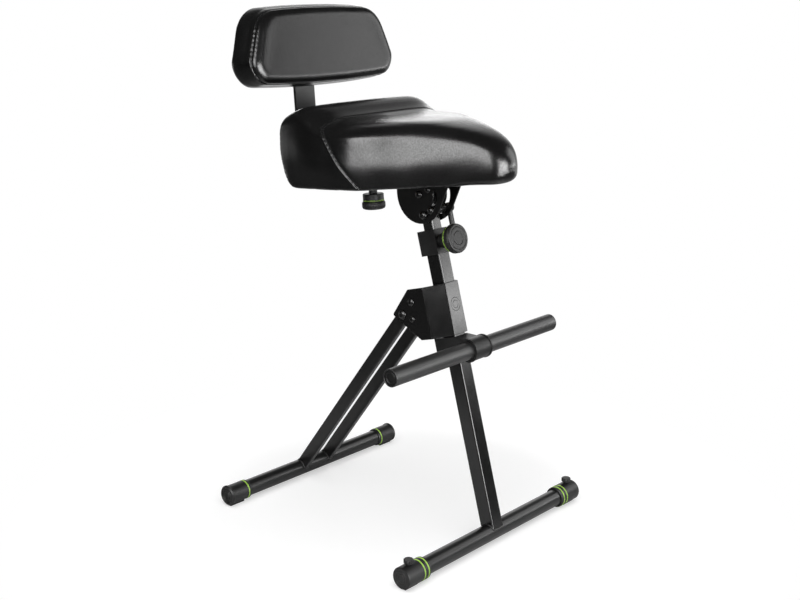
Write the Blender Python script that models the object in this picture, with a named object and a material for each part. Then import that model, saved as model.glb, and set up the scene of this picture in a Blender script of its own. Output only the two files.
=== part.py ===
"""Folding sit-stand stool: leaning post, folding rear legs, footrest, tilting saddle seat, sliding backrest.

Metres, +Z up. The sitter faces -Y. The origin is the middle of the footprint, on the floor.
"""

import math

import bmesh
import bpy
from mathutils import Matrix, Vector

# Clearances
GAP = 0.0003  # between pieces that touch
SLIDE_GAP = 0.0006  # round a bolt in a slot

# Foot tubes, their caps and the pads under the caps
FOOT_TUBE_D = 0.032
FOOT_TUBE_WALL = 0.002
FOOT_PAD = 0.0007  # how far a pad stands out under the widest cap
FOOT_PAD_WIDTH = 0.014
FOOT_PAD_START = 0.0035  # from the end face
STANCE = 0.477  # front foot tube axis to rear foot tube axis
FRONT_SPAN = 0.500  # over the caps
REAR_SPAN = 0.466
FRONT_CAP_WALL = 0.0037
FRONT_CAP_LENGTH = 0.057
FRONT_CAP_NOSE = 0.034  # solid length in front of the tube
REAR_CAP_WALL = 0.0022
REAR_CAP_FLANGE_PROUD = 0.0016
REAR_CAP_FLANGE = 0.007
REAR_CAP_LENGTH = 0.050
REAR_CAP_NOSE = 0.009
CAP_ROUND = 0.0022
RING_WIDTH = 0.0026
RING_DEPTH = 0.0012  # groove depth under the surface
RING_PROUD = 0.0003
FRONT_RING_PLACES = (0.0165, 0.0065)  # from the cap's inner end
REAR_RING_PLACE = 0.007

# Levelling screws in the front caps
LEVEL_SCREW_PLACE = 0.019  # from the end face
LEVEL_SCREW_D = 0.008
LEVEL_NECK_D = 0.012
LEVEL_NECK = 0.0025
LEVEL_HEAD_D = 0.018
LEVEL_HEAD = 0.010
LEVEL_CHAMFER = 0.0018
LEVEL_RIBS = 12
LEVEL_RIB_DEPTH = 0.0012

# Telescopic post; distances along it are measured from the front foot tube axis
POST_LEAN = math.radians(15.5)
POST_SIZE = 0.030
POST_WALL = 0.0015
POST_CORNER = 0.003
POST_ABOVE_BRACKET = 0.091
INNER_WALL = 0.0015
INNER_CORNER = 0.0025
INNER_BOTTOM = 0.250
INNER_ABOVE_PIVOT = 0.013
GUIDE_WALL = 0.0009
GUIDE_LENGTH = 0.042
GUIDE_FLANGE = 0.002
GLIDE_SPIGOT = 0.015
GLIDE_FLANGE = 0.006

# Hinge bracket of bent sheet, and the rear legs that fold in it
SHEET = 0.003
BRACKET_BOTTOM = 0.370
BRACKET_HEIGHT = 0.095
BRACKET_FRONT_MARGIN = 0.003  # half width of the front web beyond the post's side
BRACKET_FLARE_RUN = 0.001  # behind the post's back, where the cheeks become parallel
FOLD_PIVOT_ABOVE = 0.0505  # the bracket's lower edge
FOLD_PIVOT_BEHIND = 0.076  # the post axis
FOLD_BOLT_D = 0.010
FOLD_HEAD_D = 0.018
FOLD_NUT = 0.008
FOLD_NUT_ACROSS = 0.017
STOP_ABOVE_PIVOT = 0.0115  # along the opened legs
STOP_SLEEVE_D = 0.0184
STOP_BOLT_D = 0.008
STOP_HEAD_D = 0.012
CHEEK_BEHIND_PIVOT = 0.0246  # the cheek's rear corner
CHEEK_ABOVE_PIVOT = 0.0021
CHEEK_ROUND = 0.004
CHEEK_TOP_BEHIND = 0.052
CHEEK_BOTTOM_BEHIND = 0.041
LEG_DEPTH = 0.025
LEG_WIDTH = 0.012
LEG_WALL = 0.0015
LEG_CORNER = 0.002
LEG_OUTER_HALF = 0.040
LEG_ABOVE_PIVOT = 0.024
LEG_SPACER_D = 0.018
TIE_CLEAR = 0.001  # between the tie spacer and the swinging leg tops
TIE_BOLT_D = 0.008
TIE_HEAD_D = 0.015
TIE_SPACER_D = 0.013

# Footrest
REST_CLEAR = 0.0032  # under the bracket
REST_STANDOFF = 0.014  # between the bar and the post
REST_LENGTH = 0.450
REST_BAR_D = 0.032
REST_BAR_WALL = 0.002
REST_PLUG_LENGTH = 0.012
REST_PLUG_RECESS = 0.0015
REST_PLUG_RIM = 0.0027
REST_RING_WALL = 0.0042
REST_RING_HALF = 0.0225
REST_FLANGE = 0.003
REST_FLANGE_PROUD = 0.0012
REST_SLEEVE_SIDE = 0.0038
REST_SLEEVE_BACK = 0.017
REST_SLEEVE_ABOVE = 0.0262  # the bar axis
REST_SLEEVE_BELOW = 0.0185
REST_SCREW_D = 0.008
REST_SCREW_HEAD_D = 0.013

# Height clamp at the top of the outer post
COLLAR_LENGTH = 0.045
COLLAR_ABOVE_POST = 0.007
COLLAR_SIDE = 0.0024
COLLAR_BACK = 0.0084
COLLAR_FRONT = 0.0016
COLLAR_HUB_D = 0.026
KNOB_BELOW_POST_TOP = 0.016
KNOB_STANDOFF = 0.021  # from the post's front to the knob's back
KNOB_DEPTH = 0.020
KNOB_D = 0.052
KNOB_STEP = 0.0025  # the knob's back is this much smaller in radius
KNOB_CHAMFER = 0.0009
KNOB_RING_PLACE = 0.0032  # from the knob's back
KNOB_ROUND = 0.0025
KNOB_STUD_D = 0.008
STUD_IN_KNOB = 0.014

# Seat tilt: two plates under the seat on a pivot bolt through the inner post
TILT_ABOVE_POST = 0.073
TILT_SPACER_D = 0.018
TILT_SPACER = 0.0039
TILT_PLATE_R = 0.053
TILT_BOLT_D = 0.010
TILT_HEAD_D = 0.015
TILT_NUT = 0.007
TILT_NUT_ACROSS = 0.016
TILT_STOP_R = 0.038
TILT_PIN_D = 0.008  # both pins that run in the slots
TILT_STOP_HEAD_D = 0.016
TILT_CLAMP_HEAD_D = 0.014
TILT_SLOT_SWEEP = math.radians(85)  # from straight down the post towards the front
TILT_LEVER_AT = math.radians(32)
TILT_FRONT_EDGE = math.radians(28)
TIE_PIN_FRONT = 0.0228  # tie between the plates, from the tilt pivot in the post's frame
TIE_PIN_UP = 0.005
TIE_PIN_D = 0.006
TIE_PIN_HEAD_D = 0.012
FLANGE_WIDTH = 0.026
LEVER_HUB_D = 0.017
LEVER_STANDOFF = 0.007  # between the plate and the lever's rod
LEVER_BAR = 0.010
LEVER_LENGTH = 0.050
LEVER_TIP = 0.0015
CLAMP_IN_LEVER = 0.006

# Saddle seat, in a frame at the tilt pivot that is pitched nose up
SEAT_PITCH = math.radians(4.6)
SEAT_BASE = 0.0232  # underside above the tilt pivot
SEAT_NOSE = -0.200
SEAT_REAR = 0.2035
SEAT_HALF_WIDTH = 0.172
SEAT_HEIGHT = 0.140
SEAT_EDGE = 0.005
SEAT_BULGE = 0.45  # share of the height at which the saddle is widest
SEAT_DRAW = 0.04  # how much narrower its underside is
SEAT_SQUARE_NOSE = 3.6  # squareness of the crown
SEAT_SQUARE_REAR = 7.5
SEAT_STATIONS = 30
SEAT_SIDE_POINTS = 3
SEAT_CROWN_POINTS = 9
BOARD = 0.012
BOARD_INSET = 0.024
BOARD_END = 0.0144  # further inset of the board's ends
BOARD_STATIONS = 16

# The saddle's shape from its nose (0) to its rear (1): shares of its half width and of its height
SEAT_PLAN = (
    (0.0, 0.035), (0.0098, 0.10), (0.0294, 0.166), (0.0617, 0.22), (0.0989, 0.262),
    (0.1928, 0.372), (0.2976, 0.512), (0.4063, 0.698), (0.4953, 0.885), (0.5453, 0.955),
    (0.6441, 1.0), (0.9045, 0.985), (0.9755, 0.965), (0.992, 0.94), (1.0, 0.91),
)
SEAT_CROWN = (
    (0.0, 0.243), (0.0098, 0.343), (0.0323, 0.443), (0.0989, 0.586), (0.1733, 0.664), (0.3465, 0.764),
    (0.7185, 0.829), (0.7861, 0.955), (0.85, 1.02), (0.945, 0.95), (0.9804, 0.85), (1.0, 0.685),
)
SEAT_UNDERSIDE = (
    (0.0, 0.2), (0.0147, 0.086), (0.0548, 0.0), (0.9158, 0.0), (0.955, 0.086), (0.985, 0.25), (1.0, 0.464),
)

# Backrest on a bent flat bar that slides under the seat
ARM_WIDTH = 0.050
ARM = 0.006
ARM_IN_GUIDE = 0.007  # the arm's front end behind the guide's
ARM_BEHIND_SEAT = 0.0933  # front face of the upright behind the saddle
ARM_BEND = 0.022
ARM_ABOVE_MIDDLE = 0.05055
GUIDE_BEFORE_REAR = 0.0385  # rear end of the guide in front of the saddle's
GUIDE_RUN = 0.067
GUIDE_WING = 0.015
ARM_KNOB_IN_GUIDE = 0.034  # behind the guide's front end
ARM_KNOB_D = 0.043
ARM_KNOB_STEP = 0.0017
ARM_KNOB_HEIGHT = 0.0285
ARM_KNOB_RING_PLACE = 0.0125  # from the knob's top
ARM_KNOB_NECK_D = 0.016
ARM_KNOB_NECK = 0.0125
ARM_KNOB_STUD_D = 0.008
ARM_NUT_D = 0.019
ARM_NUT = 0.006
BACK_MIDDLE = 0.2722  # above the tilt pivot
BACK_HEIGHT = 0.1390  # at the ends
BACK_BOW = 0.0065  # how far the long edges bow out
BACK_BOW_STEPS = 6
BACK_TOP_HALF = 0.157
BACK_BOTTOM_HALF = 0.206
BACK_DEPTH = 0.067
BACK_TOP_CORNER = 0.060
BACK_BOTTOM_CORNER = 0.042
BACK_RIM = 0.030
BACK_CROWN = 0.0011  # how far the face's middle stands proud
BACK_CROWN_SHARE = 0.5
BACK_BOARD = 0.008
BACK_BOARD_INSET = 0.018
BACK_SCREW_D = 0.006
BACK_SCREW_HEAD_D = 0.012
BACK_SCREW_SPACING = 0.056
BACK_SCREW_DROP = 0.0012  # their middle below the cushion's

# Outline of the backrest from its board (0) to its face (1): how much of the rim it is drawn in
BACK_SLICES = ((0.0, 0.46), (0.06, 0.15), (0.25, 0.0), (0.6, 0.2), (0.85, 0.46), (0.95, 0.68), (1.0, 1.0))

ROUND = 24  # sides of turned pieces
SMALL_ROUND = 16
ARC_STEPS = 14
BEND_STEPS = 6
DOME = 0.27  # height of a domed head as a share of its diameter
CORNER_KEPT = 0.2  # least share of a corner's radius that is kept where its outline is drawn in
ROUND_MIDDLE = 1 - math.sqrt(0.5)  # how far a round's middle lies from its square corner

# Sizes and places that follow from those above
FRONT_CAP_D = FOOT_TUBE_D + 2 * (GAP + FRONT_CAP_WALL)
REAR_CAP_D = FOOT_TUBE_D + 2 * (GAP + REAR_CAP_WALL)
REAR_CAP_FLANGE_D = REAR_CAP_D + 2 * REAR_CAP_FLANGE_PROUD
FOOT_UP = max(FRONT_CAP_D, REAR_CAP_FLANGE_D) / 2 + FOOT_PAD  # height of both foot tube axes
INNER_SIZE = POST_SIZE - 2 * (POST_WALL + GAP + GUIDE_WALL + GAP)
BRACKET_TOP = BRACKET_BOTTOM + BRACKET_HEIGHT
POST_TOP = BRACKET_TOP + POST_ABOVE_BRACKET
FOLD_PIVOT_UP = BRACKET_BOTTOM + FOLD_PIVOT_ABOVE
TIE_ABOVE_PIVOT = math.hypot(LEG_ABOVE_PIVOT, LEG_DEPTH / 2) + TIE_CLEAR + TIE_SPACER_D / 2
REST_UP = BRACKET_BOTTOM - REST_CLEAR - REST_SLEEVE_ABOVE
REST_FRONT = POST_SIZE / 2 + REST_STANDOFF + REST_BAR_D / 2
COLLAR_TOP = POST_TOP + COLLAR_ABOVE_POST
COLLAR_BOTTOM = COLLAR_TOP - COLLAR_LENGTH
KNOB_UP = POST_TOP - KNOB_BELOW_POST_TOP
KNOB_REAR = POST_SIZE / 2 + KNOB_STANDOFF
TILT_UP = POST_TOP + TILT_ABOVE_POST
TILT_PLATE_MID = INNER_SIZE / 2 + GAP + TILT_SPACER + GAP + SHEET / 2  # from the middle plane
LEVER_OUT = TILT_PLATE_MID + SHEET / 2 + LEVER_STANDOFF
SEAT_LENGTH = SEAT_REAR - SEAT_NOSE
GUIDE_REAR = SEAT_REAR - GUIDE_BEFORE_REAR
GUIDE_FRONT = GUIDE_REAR - GUIDE_RUN
ARM_KNOB_PLACE = GUIDE_FRONT + ARM_KNOB_IN_GUIDE
ARM_HIGH = SEAT_BASE - 2 * GAP
ARM_LOW = ARM_HIGH - ARM
GUIDE_FLOOR = ARM_LOW - GAP
ARM_NUT_LOW = GUIDE_FLOOR - SHEET - ARM_NUT
ARM_KNOB_TOP = ARM_NUT_LOW - GAP - ARM_KNOB_NECK

BLACK_STEEL = ("black_steel", (0.012, 0.012, 0.013), 0.45, 0.3)
BLACK_PLASTIC = ("black_plastic", (0.016, 0.016, 0.017), 0.5, 0.0)
BLACK_BOLT = ("black_bolt", (0.02, 0.02, 0.022), 0.3, 0.8)
LIME = ("lime_rubber", (0.35, 0.62, 0.08), 0.45, 0.0)
LEATHERETTE = ("black_leatherette", (0.011, 0.011, 0.012), 0.42, 0.0)
PLYWOOD = ("plywood", (0.32, 0.21, 0.12), 0.7, 0.0)

SIDES = (("right", -1), ("left", 1))

ALONG_X = Matrix.Rotation(math.pi / 2, 4, "Y")  # turns local Z to X
ALONG_MINUS_Y = Matrix.Rotation(math.pi / 2, 4, "X")  # turns local Z to -Y


def clear_scene():
    for obj in list(bpy.data.objects):
        bpy.data.objects.remove(obj, do_unlink=True)


def frame(name, parent=None, place=(0, 0, 0), turn_x=0.0):
    """An empty on a joint axis or a reference line."""
    empty = bpy.data.objects.new(name, None)
    empty.empty_display_size = 0.03
    bpy.context.scene.collection.objects.link(empty)
    empty.parent = parent
    empty.location = place
    empty.rotation_euler = (turn_x, 0, 0)
    return empty


def material(finish):
    name, colour, roughness, metallic = finish
    made = bpy.data.materials.get(name)
    if made is None:
        made = bpy.data.materials.new(name)
        made.use_nodes = True
        shader = made.node_tree.nodes["Principled BSDF"]
        shader.inputs["Base Color"].default_value = (*colour, 1)
        shader.inputs["Roughness"].default_value = roughness
        shader.inputs["Metallic"].default_value = metallic
    return made


def part(name, bm, finish, parent, turn=None, smooth=True):
    """Closes bm into a named object under parent; turn places the shape in the parent's frame."""
    if turn is not None:
        bmesh.ops.transform(bm, matrix=turn, verts=bm.verts)
    bmesh.ops.recalc_face_normals(bm, faces=bm.faces)
    mesh = bpy.data.meshes.new(name)
    bm.to_mesh(mesh)
    bm.free()
    obj = bpy.data.objects.new(name, mesh)
    bpy.context.scene.collection.objects.link(obj)
    obj.parent = parent
    if smooth:
        mesh.shade_smooth()
        mesh.set_sharp_from_angle(angle=math.radians(35))
    if finish is not None:
        mesh.materials.append(material(finish))
    return obj


def helper(name, bm, parent, turn=None):
    """A shape that only cuts or joins."""
    obj = part("shape_" + name, bm, None, parent, turn, smooth=False)
    obj.hide_render = True
    obj.display_type = "WIRE"
    return obj


def boolean(obj, other, operation):
    modifier = obj.modifiers.new(operation.lower(), "BOOLEAN")
    modifier.operation = operation
    modifier.object = other
    modifier.solver = "EXACT"


def loft(loops, closed_ends=True):
    """Joins equal loops of points into a skin; the first and last loops become flat ends."""
    bm = bmesh.new()
    rings = [[bm.verts.new(p) for p in loop] for loop in loops]
    count = len(rings[0])
    for lower, upper in zip(rings, rings[1:]):
        for i in range(count):
            j = (i + 1) % count
            bm.faces.new((lower[i], lower[j], upper[j], upper[i]))
    if closed_ends:
        bm.faces.new(rings[0][::-1])
        bm.faces.new(rings[-1])
    return bm


def lathe(profile, sides=ROUND):
    """Turns (radius, height) points round Z; the profile starts and ends on the axis."""
    bm = bmesh.new()
    rings = []
    for radius, height in profile:
        if radius == 0:
            rings.append([bm.verts.new((0, 0, height))])
            continue
        rings.append([bm.verts.new((x, y, height)) for x, y in circle(radius, sides)])
    for lower, upper in zip(rings, rings[1:]):
        for i in range(sides):
            j = (i + 1) % sides
            below, above = len(lower), len(upper)
            corners = [lower[i % below], lower[j % below], upper[j % above], upper[i % above]]
            bm.faces.new(list(dict.fromkeys(corners)))
    return bm


def hollow(outer, inner, low, high):
    """A prism along Z with one hole; both outlines have the same number of points."""
    loops = [
        [(x, y, low) for x, y in inner],
        [(x, y, low) for x, y in outer],
        [(x, y, high) for x, y in outer],
        [(x, y, high) for x, y in inner],
    ]
    return loft(loops + loops[:1], closed_ends=False)


def weld(bm):
    bmesh.ops.remove_doubles(bm, verts=bm.verts, dist=1e-7)
    return bm


def prism(outline, low, high):
    return loft([[(x, y, low) for x, y in outline], [(x, y, high) for x, y in outline]])


def circle(radius, sides=ROUND):
    turns = [2 * math.pi * i / sides for i in range(sides)]
    return [(radius * math.cos(a), radius * math.sin(a)) for a in turns]


def bore_radius(pin_diameter, clearance=GAP, sides=ROUND):
    """Radius of a faceted hole that clears a pin all round."""
    return (pin_diameter / 2 + clearance) / math.cos(math.pi / sides)


def rounded(half_x, half_y, corner, steps=3):
    """A rounded rectangle about the origin."""
    points = []
    for quarter, (sx, sy) in enumerate(((1, 1), (-1, 1), (-1, -1), (1, -1))):
        for i in range(steps + 1):
            a = math.pi / 2 * (quarter + i / steps)
            x = sx * (half_x - corner) + corner * math.cos(a)
            y = sy * (half_y - corner) + corner * math.sin(a)
            points.append((x, y))
    return points


def box(low, high):
    outline = [(low[0], low[1]), (high[0], low[1]), (high[0], high[1]), (low[0], high[1])]
    return prism(outline, low[2], high[2])


def square_tube(half_x, half_y, wall, corner, low, high):
    inner = rounded(half_x - wall, half_y - wall, max(corner - wall, corner * CORNER_KEPT))
    return weld(hollow(rounded(half_x, half_y, corner), inner, low, high))


def round_tube(diameter, wall, low, high, sides=ROUND):
    return weld(hollow(circle(diameter / 2, sides), circle(diameter / 2 - wall, sides), low, high))


def ring(inner_r, outer_r, low, high, sides=ROUND):
    return weld(hollow(circle(outer_r, sides), circle(inner_r, sides), low, high))


def rod_between(start, end, radius, sides=ROUND):
    """A round bar between two points, as a bmesh in the same frame."""
    start, end = Vector(start), Vector(end)
    run = end - start
    bm = prism(circle(radius, sides), 0, run.length)
    turn = Matrix.Translation(start) @ run.to_track_quat("Z", "Y").to_matrix().to_4x4()
    bmesh.ops.transform(bm, matrix=turn, verts=bm.verts)
    return bm


def bore(obj, name, start, end, diameter, clearance=GAP):
    """Cuts a hole for a pin of this diameter between two points in the frame of the object's parent."""
    shape = rod_between(start, end, bore_radius(diameter, clearance))
    boolean(obj, helper(name, shape, obj.parent), "DIFFERENCE")


def dome(diameter, base, up=1, steps=3):
    """Profile points of a domed head from its rim to its top."""
    points = []
    for i in range(steps):
        a = math.pi / 2 * i / steps
        points.append((diameter / 2 * math.cos(a), base + up * diameter * DOME * math.sin(a)))
    return points + [(0, base + up * diameter * DOME)]


def dome_pin(shank_d, length, head_d, both_ends=False):
    """A pin along Z from 0 to length with a domed head below 0, and one above its end if asked."""
    shank = shank_d / 2
    profile = dome(head_d, 0, up=-1)[::-1] + [(shank, 0)]
    if both_ends:
        profile += [(shank, length)] + dome(head_d, length)
    else:
        profile += [(shank, length), (0, length)]
    return lathe(profile, SMALL_ROUND)


def hex_nut(bolt_d, across, height):
    """A nut along Z from 0 to height."""
    inner = circle(bore_radius(bolt_d))
    outer = []
    for x, y in circle(1):
        a = math.atan2(y, x)
        turn = (a + math.pi / 6) % (math.pi / 3) - math.pi / 6  # from the middle of the nearest flat
        r = across / 2 / math.cos(turn)
        outer.append((r * math.cos(a), r * math.sin(a)))
    return weld(hollow(outer, inner, 0, height))


def pchip(points, x):
    """A smooth curve through (x, y) points that keeps their rises and falls."""
    xs = [p[0] for p in points]
    ys = [p[1] for p in points]
    steps = [b - a for a, b in zip(xs, xs[1:])]
    slopes = [(b - a) / h for a, b, h in zip(ys, ys[1:], steps)]
    tangents = [slopes[0]]
    for h0, h1, d0, d1 in zip(steps, steps[1:], slopes, slopes[1:]):
        if d0 * d1 <= 0:
            tangents.append(0.0)
            continue
        w0, w1 = 2 * h1 + h0, h1 + 2 * h0
        tangents.append((w0 + w1) / (w0 / d0 + w1 / d1))
    tangents.append(slopes[-1])
    x = min(max(x, xs[0]), xs[-1])
    k = max(i for i in range(len(xs) - 1) if xs[i] <= x)
    h = steps[k]
    u = (x - xs[k]) / h
    return (
        ys[k] * (1 + 2 * u) * (1 - u) ** 2
        + tangents[k] * h * u * (1 - u) ** 2
        + ys[k + 1] * u * u * (3 - 2 * u)
        + tangents[k + 1] * h * u * u * (u - 1)
    )


# Foot tubes


def front_cap(name, side, parent):
    """A cap over the end of the front foot tube, with ring grooves, a pad and a levelling screw."""
    face = side * FRONT_SPAN / 2
    r = FRONT_CAP_D / 2
    groove = r - RING_DEPTH
    middle = CAP_ROUND * ROUND_MIDDLE
    profile = [(0, 0), (r - CAP_ROUND, 0), (r - middle, middle), (r, CAP_ROUND)]
    end = FRONT_CAP_LENGTH
    places = [end - place for place in FRONT_RING_PLACES]
    for place in places:
        low, high = place - RING_WIDTH / 2 - GAP, place + RING_WIDTH / 2 + GAP
        profile += [(r, low), (groove, low), (groove, high), (r, high)]
    socket = FOOT_TUBE_D / 2 + GAP
    profile += [(r, end - CAP_ROUND), (r - CAP_ROUND, end), (socket, end)]
    profile += [(socket, FRONT_CAP_NOSE), (0, FRONT_CAP_NOSE)]
    at = Matrix.Translation((face, 0, FOOT_UP)) @ Matrix.Rotation(-side * math.pi / 2, 4, "Y")
    cap = part(name, lathe(profile), BLACK_PLASTIC, parent, at)
    pad_low = face - side * FOOT_PAD_START
    pad_high = face - side * (places[0] - 2 * RING_WIDTH)
    add_pad(cap, name, pad_low, pad_high, 0)
    screw_x = face - side * LEVEL_SCREW_PLACE
    bore(cap, name + "_screw", (screw_x, 0, -FOOT_PAD), (screw_x, 0, FOOT_UP + 2 * r), LEVEL_SCREW_D)
    for number, place in enumerate(places, 1):
        cap_ring(f"{name}_ring_{number}", face - side * place, 0, r, parent)
    return screw_x


def rear_cap(name, side, parent):
    """A flanged cap on the end of the rear foot tube."""
    face = side * REAR_SPAN / 2
    flange, r = REAR_CAP_FLANGE_D / 2, REAR_CAP_D / 2
    end = REAR_CAP_LENGTH
    place = end - REAR_RING_PLACE
    low, high = place - RING_WIDTH / 2 - GAP, place + RING_WIDTH / 2 + GAP
    groove = r - RING_DEPTH
    socket = FOOT_TUBE_D / 2 + GAP
    dish = r - 2 * CAP_ROUND
    profile = [(0, CAP_ROUND), (dish, CAP_ROUND), (dish + CAP_ROUND / 2, 0), (flange - CAP_ROUND, 0)]
    profile += [(flange, CAP_ROUND), (flange, REAR_CAP_FLANGE - CAP_ROUND)]
    profile += [(r, REAR_CAP_FLANGE), (r, low), (groove, low), (groove, high), (r, high)]
    rim = (r + socket) / 2
    profile += [(r, end - CAP_ROUND), (rim, end), (socket, end), (socket, REAR_CAP_NOSE), (0, REAR_CAP_NOSE)]
    at = Matrix.Translation((face, STANCE, FOOT_UP)) @ Matrix.Rotation(-side * math.pi / 2, 4, "Y")
    cap = part(name, lathe(profile), BLACK_PLASTIC, parent, at)
    pad_low = face - side * FOOT_PAD_START
    pad_high = face - side * (place - 2 * RING_WIDTH)
    add_pad(cap, name, pad_low, pad_high, STANCE)
    cap_ring(name + "_ring", face - side * place, STANCE, r, parent)


def add_pad(cap, name, start, end, y):
    """The flat pad on which a cap stands; it reaches well into the cap's wall."""
    half = FOOT_PAD_WIDTH / 2
    into = FOOT_UP - FOOT_TUBE_D / 2 - 2 * GAP
    low, high = (min(start, end), y - half, 0), (max(start, end), y + half, into)
    boolean(cap, helper(name + "_pad", box(low, high), cap.parent), "UNION")


def cap_ring(name, x, y, radius, parent):
    """A coloured ring in a cap's groove."""
    inner, outer = radius - RING_DEPTH + GAP, radius + RING_PROUD
    turn = Matrix.Translation((x, y, FOOT_UP)) @ ALONG_X
    part(name, ring(inner, outer, -RING_WIDTH / 2, RING_WIDTH / 2), LIME, parent, turn)


def foot_tube(name, y, half, parent):
    turn = Matrix.Translation((0, y, FOOT_UP)) @ ALONG_X
    part(name, round_tube(FOOT_TUBE_D, FOOT_TUBE_WALL, -half, half), BLACK_STEEL, parent, turn)


def levelling_screw(name, x, parent):
    """A ribbed thumb screw that stands on a front cap and reaches down to the floor."""
    axis = frame(name + "_axis", parent, (x, 0, 0))
    seat = FOOT_UP + FRONT_CAP_D / 2 + GAP
    top = seat + LEVEL_HEAD
    sides = LEVEL_RIBS * 2
    head, shank = LEVEL_HEAD_D / 2, LEVEL_SCREW_D / 2

    def ribbed(radius, z):
        points = circle(1, sides)
        grow = [radius - (LEVEL_RIB_DEPTH if i % 2 else 0) for i in range(sides)]
        return [(x * r, y * r, z) for (x, y), r in zip(points, grow)]

    def plain(radius, z):
        return [(x, y, z) for x, y in circle(radius, sides)]

    neck = seat + LEVEL_NECK
    loops = [
        plain(shank, GAP * 2),
        plain(shank, seat),
        plain(LEVEL_NECK_D / 2, seat),
        plain(LEVEL_NECK_D / 2, neck),
        ribbed(head, neck),
        ribbed(head, top - LEVEL_CHAMFER / 2),
        plain(head - LEVEL_CHAMFER, top),
    ]
    part(name, loft(loops), BLACK_PLASTIC, axis)


# Post and hinge bracket


def outer_post(parent):
    half = POST_SIZE / 2
    tube = square_tube(half, half, POST_WALL, POST_CORNER, 0, POST_TOP)
    post = part("outer_post", tube, BLACK_STEEL, parent)
    cope(post, "post_saddle", 0, POST_SIZE)
    bore(post, "post_stud", (0, -POST_SIZE, KNOB_UP), (0, 0, KNOB_UP), KNOB_STUD_D)


def cope(tube, name, height, width):
    """Cuts the end of a tube to sit on a foot tube that runs along X."""
    saddle = rod_between((-width, 0, height), (width, 0, height), bore_radius(FOOT_TUBE_D))
    boolean(tube, helper(name, saddle, tube.parent), "DIFFERENCE")


def bracket_section():
    """Plan outline of the bent sheet: a front web, two flares and two parallel cheeks, as (x, rearward)."""
    front = -POST_SIZE / 2 - GAP
    web = POST_SIZE / 2 + BRACKET_FRONT_MARGIN
    bend = POST_SIZE / 2 + BRACKET_FLARE_RUN
    back = FOLD_PIVOT_BEHIND + CHEEK_BEHIND_PIVOT + SHEET
    cheek = LEG_OUTER_HALF + GAP
    flare = math.atan2(cheek + SHEET - web, bend - front + SHEET)
    shift_front = SHEET * math.tan((math.pi / 2 - flare) / 2)
    shift_cheek = SHEET * math.tan(flare / 2)
    outer = [(web, front - SHEET), (cheek + SHEET, bend), (cheek + SHEET, back)]
    inner = [(web - shift_front, front), (cheek, bend + shift_cheek), (cheek, back)]
    right = [(-x, y) for x, y in outer]
    return right[::-1] + outer + inner[::-1] + [(-x, y) for x, y in inner]


def hinge_bracket(parent):
    sheet = prism(bracket_section(), BRACKET_BOTTOM - SHEET, BRACKET_TOP + SHEET)
    bracket = part("hinge_bracket", sheet, BLACK_STEEL, parent, smooth=False)
    front = -POST_SIZE
    below, above = (CHEEK_BOTTOM_BEHIND, BRACKET_BOTTOM), (CHEEK_TOP_BEHIND, BRACKET_TOP)
    corner = (FOLD_PIVOT_BEHIND + CHEEK_BEHIND_PIVOT, FOLD_PIVOT_UP + CHEEK_ABOVE_PIVOT)
    side_view = [(front, BRACKET_BOTTOM), below]
    side_view += round_corner(below, corner, above, CHEEK_ROUND)
    side_view += [above, (front, BRACKET_TOP)]
    wide = LEG_OUTER_HALF + 2 * SHEET
    loops = [[(x, y, z) for y, z in side_view] for x in (-wide, wide)]
    boolean(bracket, helper("bracket_side", loft(loops), parent), "INTERSECT")
    for name, behind, up, diameter in (
        ("bracket_fold", FOLD_PIVOT_BEHIND, FOLD_PIVOT_UP, FOLD_BOLT_D),
        ("bracket_stop", *stop_place(), STOP_BOLT_D),
        ("bracket_tie", *tie_place(), TIE_BOLT_D),
    ):
        bore(bracket, name, (-wide, behind, up), (wide, behind, up), diameter)


def leg_lean():
    """Angle of the rear legs from upright, and their length from the fold pivot to the rear foot tube."""
    y = FOLD_PIVOT_UP * math.sin(POST_LEAN) + FOLD_PIVOT_BEHIND * math.cos(POST_LEAN)
    z = FOLD_PIVOT_UP * math.cos(POST_LEAN) - FOLD_PIVOT_BEHIND * math.sin(POST_LEAN)
    return math.atan2(STANCE - y, z), math.hypot(STANCE - y, z)


def beside_legs(up, forward):
    """A place along the opened legs from the fold pivot and in front of them, as (behind, up) the post."""
    turn = leg_lean()[0] + POST_LEAN
    return (
        FOLD_PIVOT_BEHIND - up * math.sin(turn) - forward * math.cos(turn),
        FOLD_PIVOT_UP + up * math.cos(turn) - forward * math.sin(turn),
    )


def tie_place():
    """The tie bolt lies on the legs' middle line, past their tops."""
    return beside_legs(TIE_ABOVE_PIVOT, 0)


def stop_place():
    """The stop bolt lies where its sleeve just meets the front faces of the opened legs."""
    return beside_legs(STOP_ABOVE_PIVOT, LEG_DEPTH / 2 + GAP + STOP_SLEEVE_D / 2)


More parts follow.
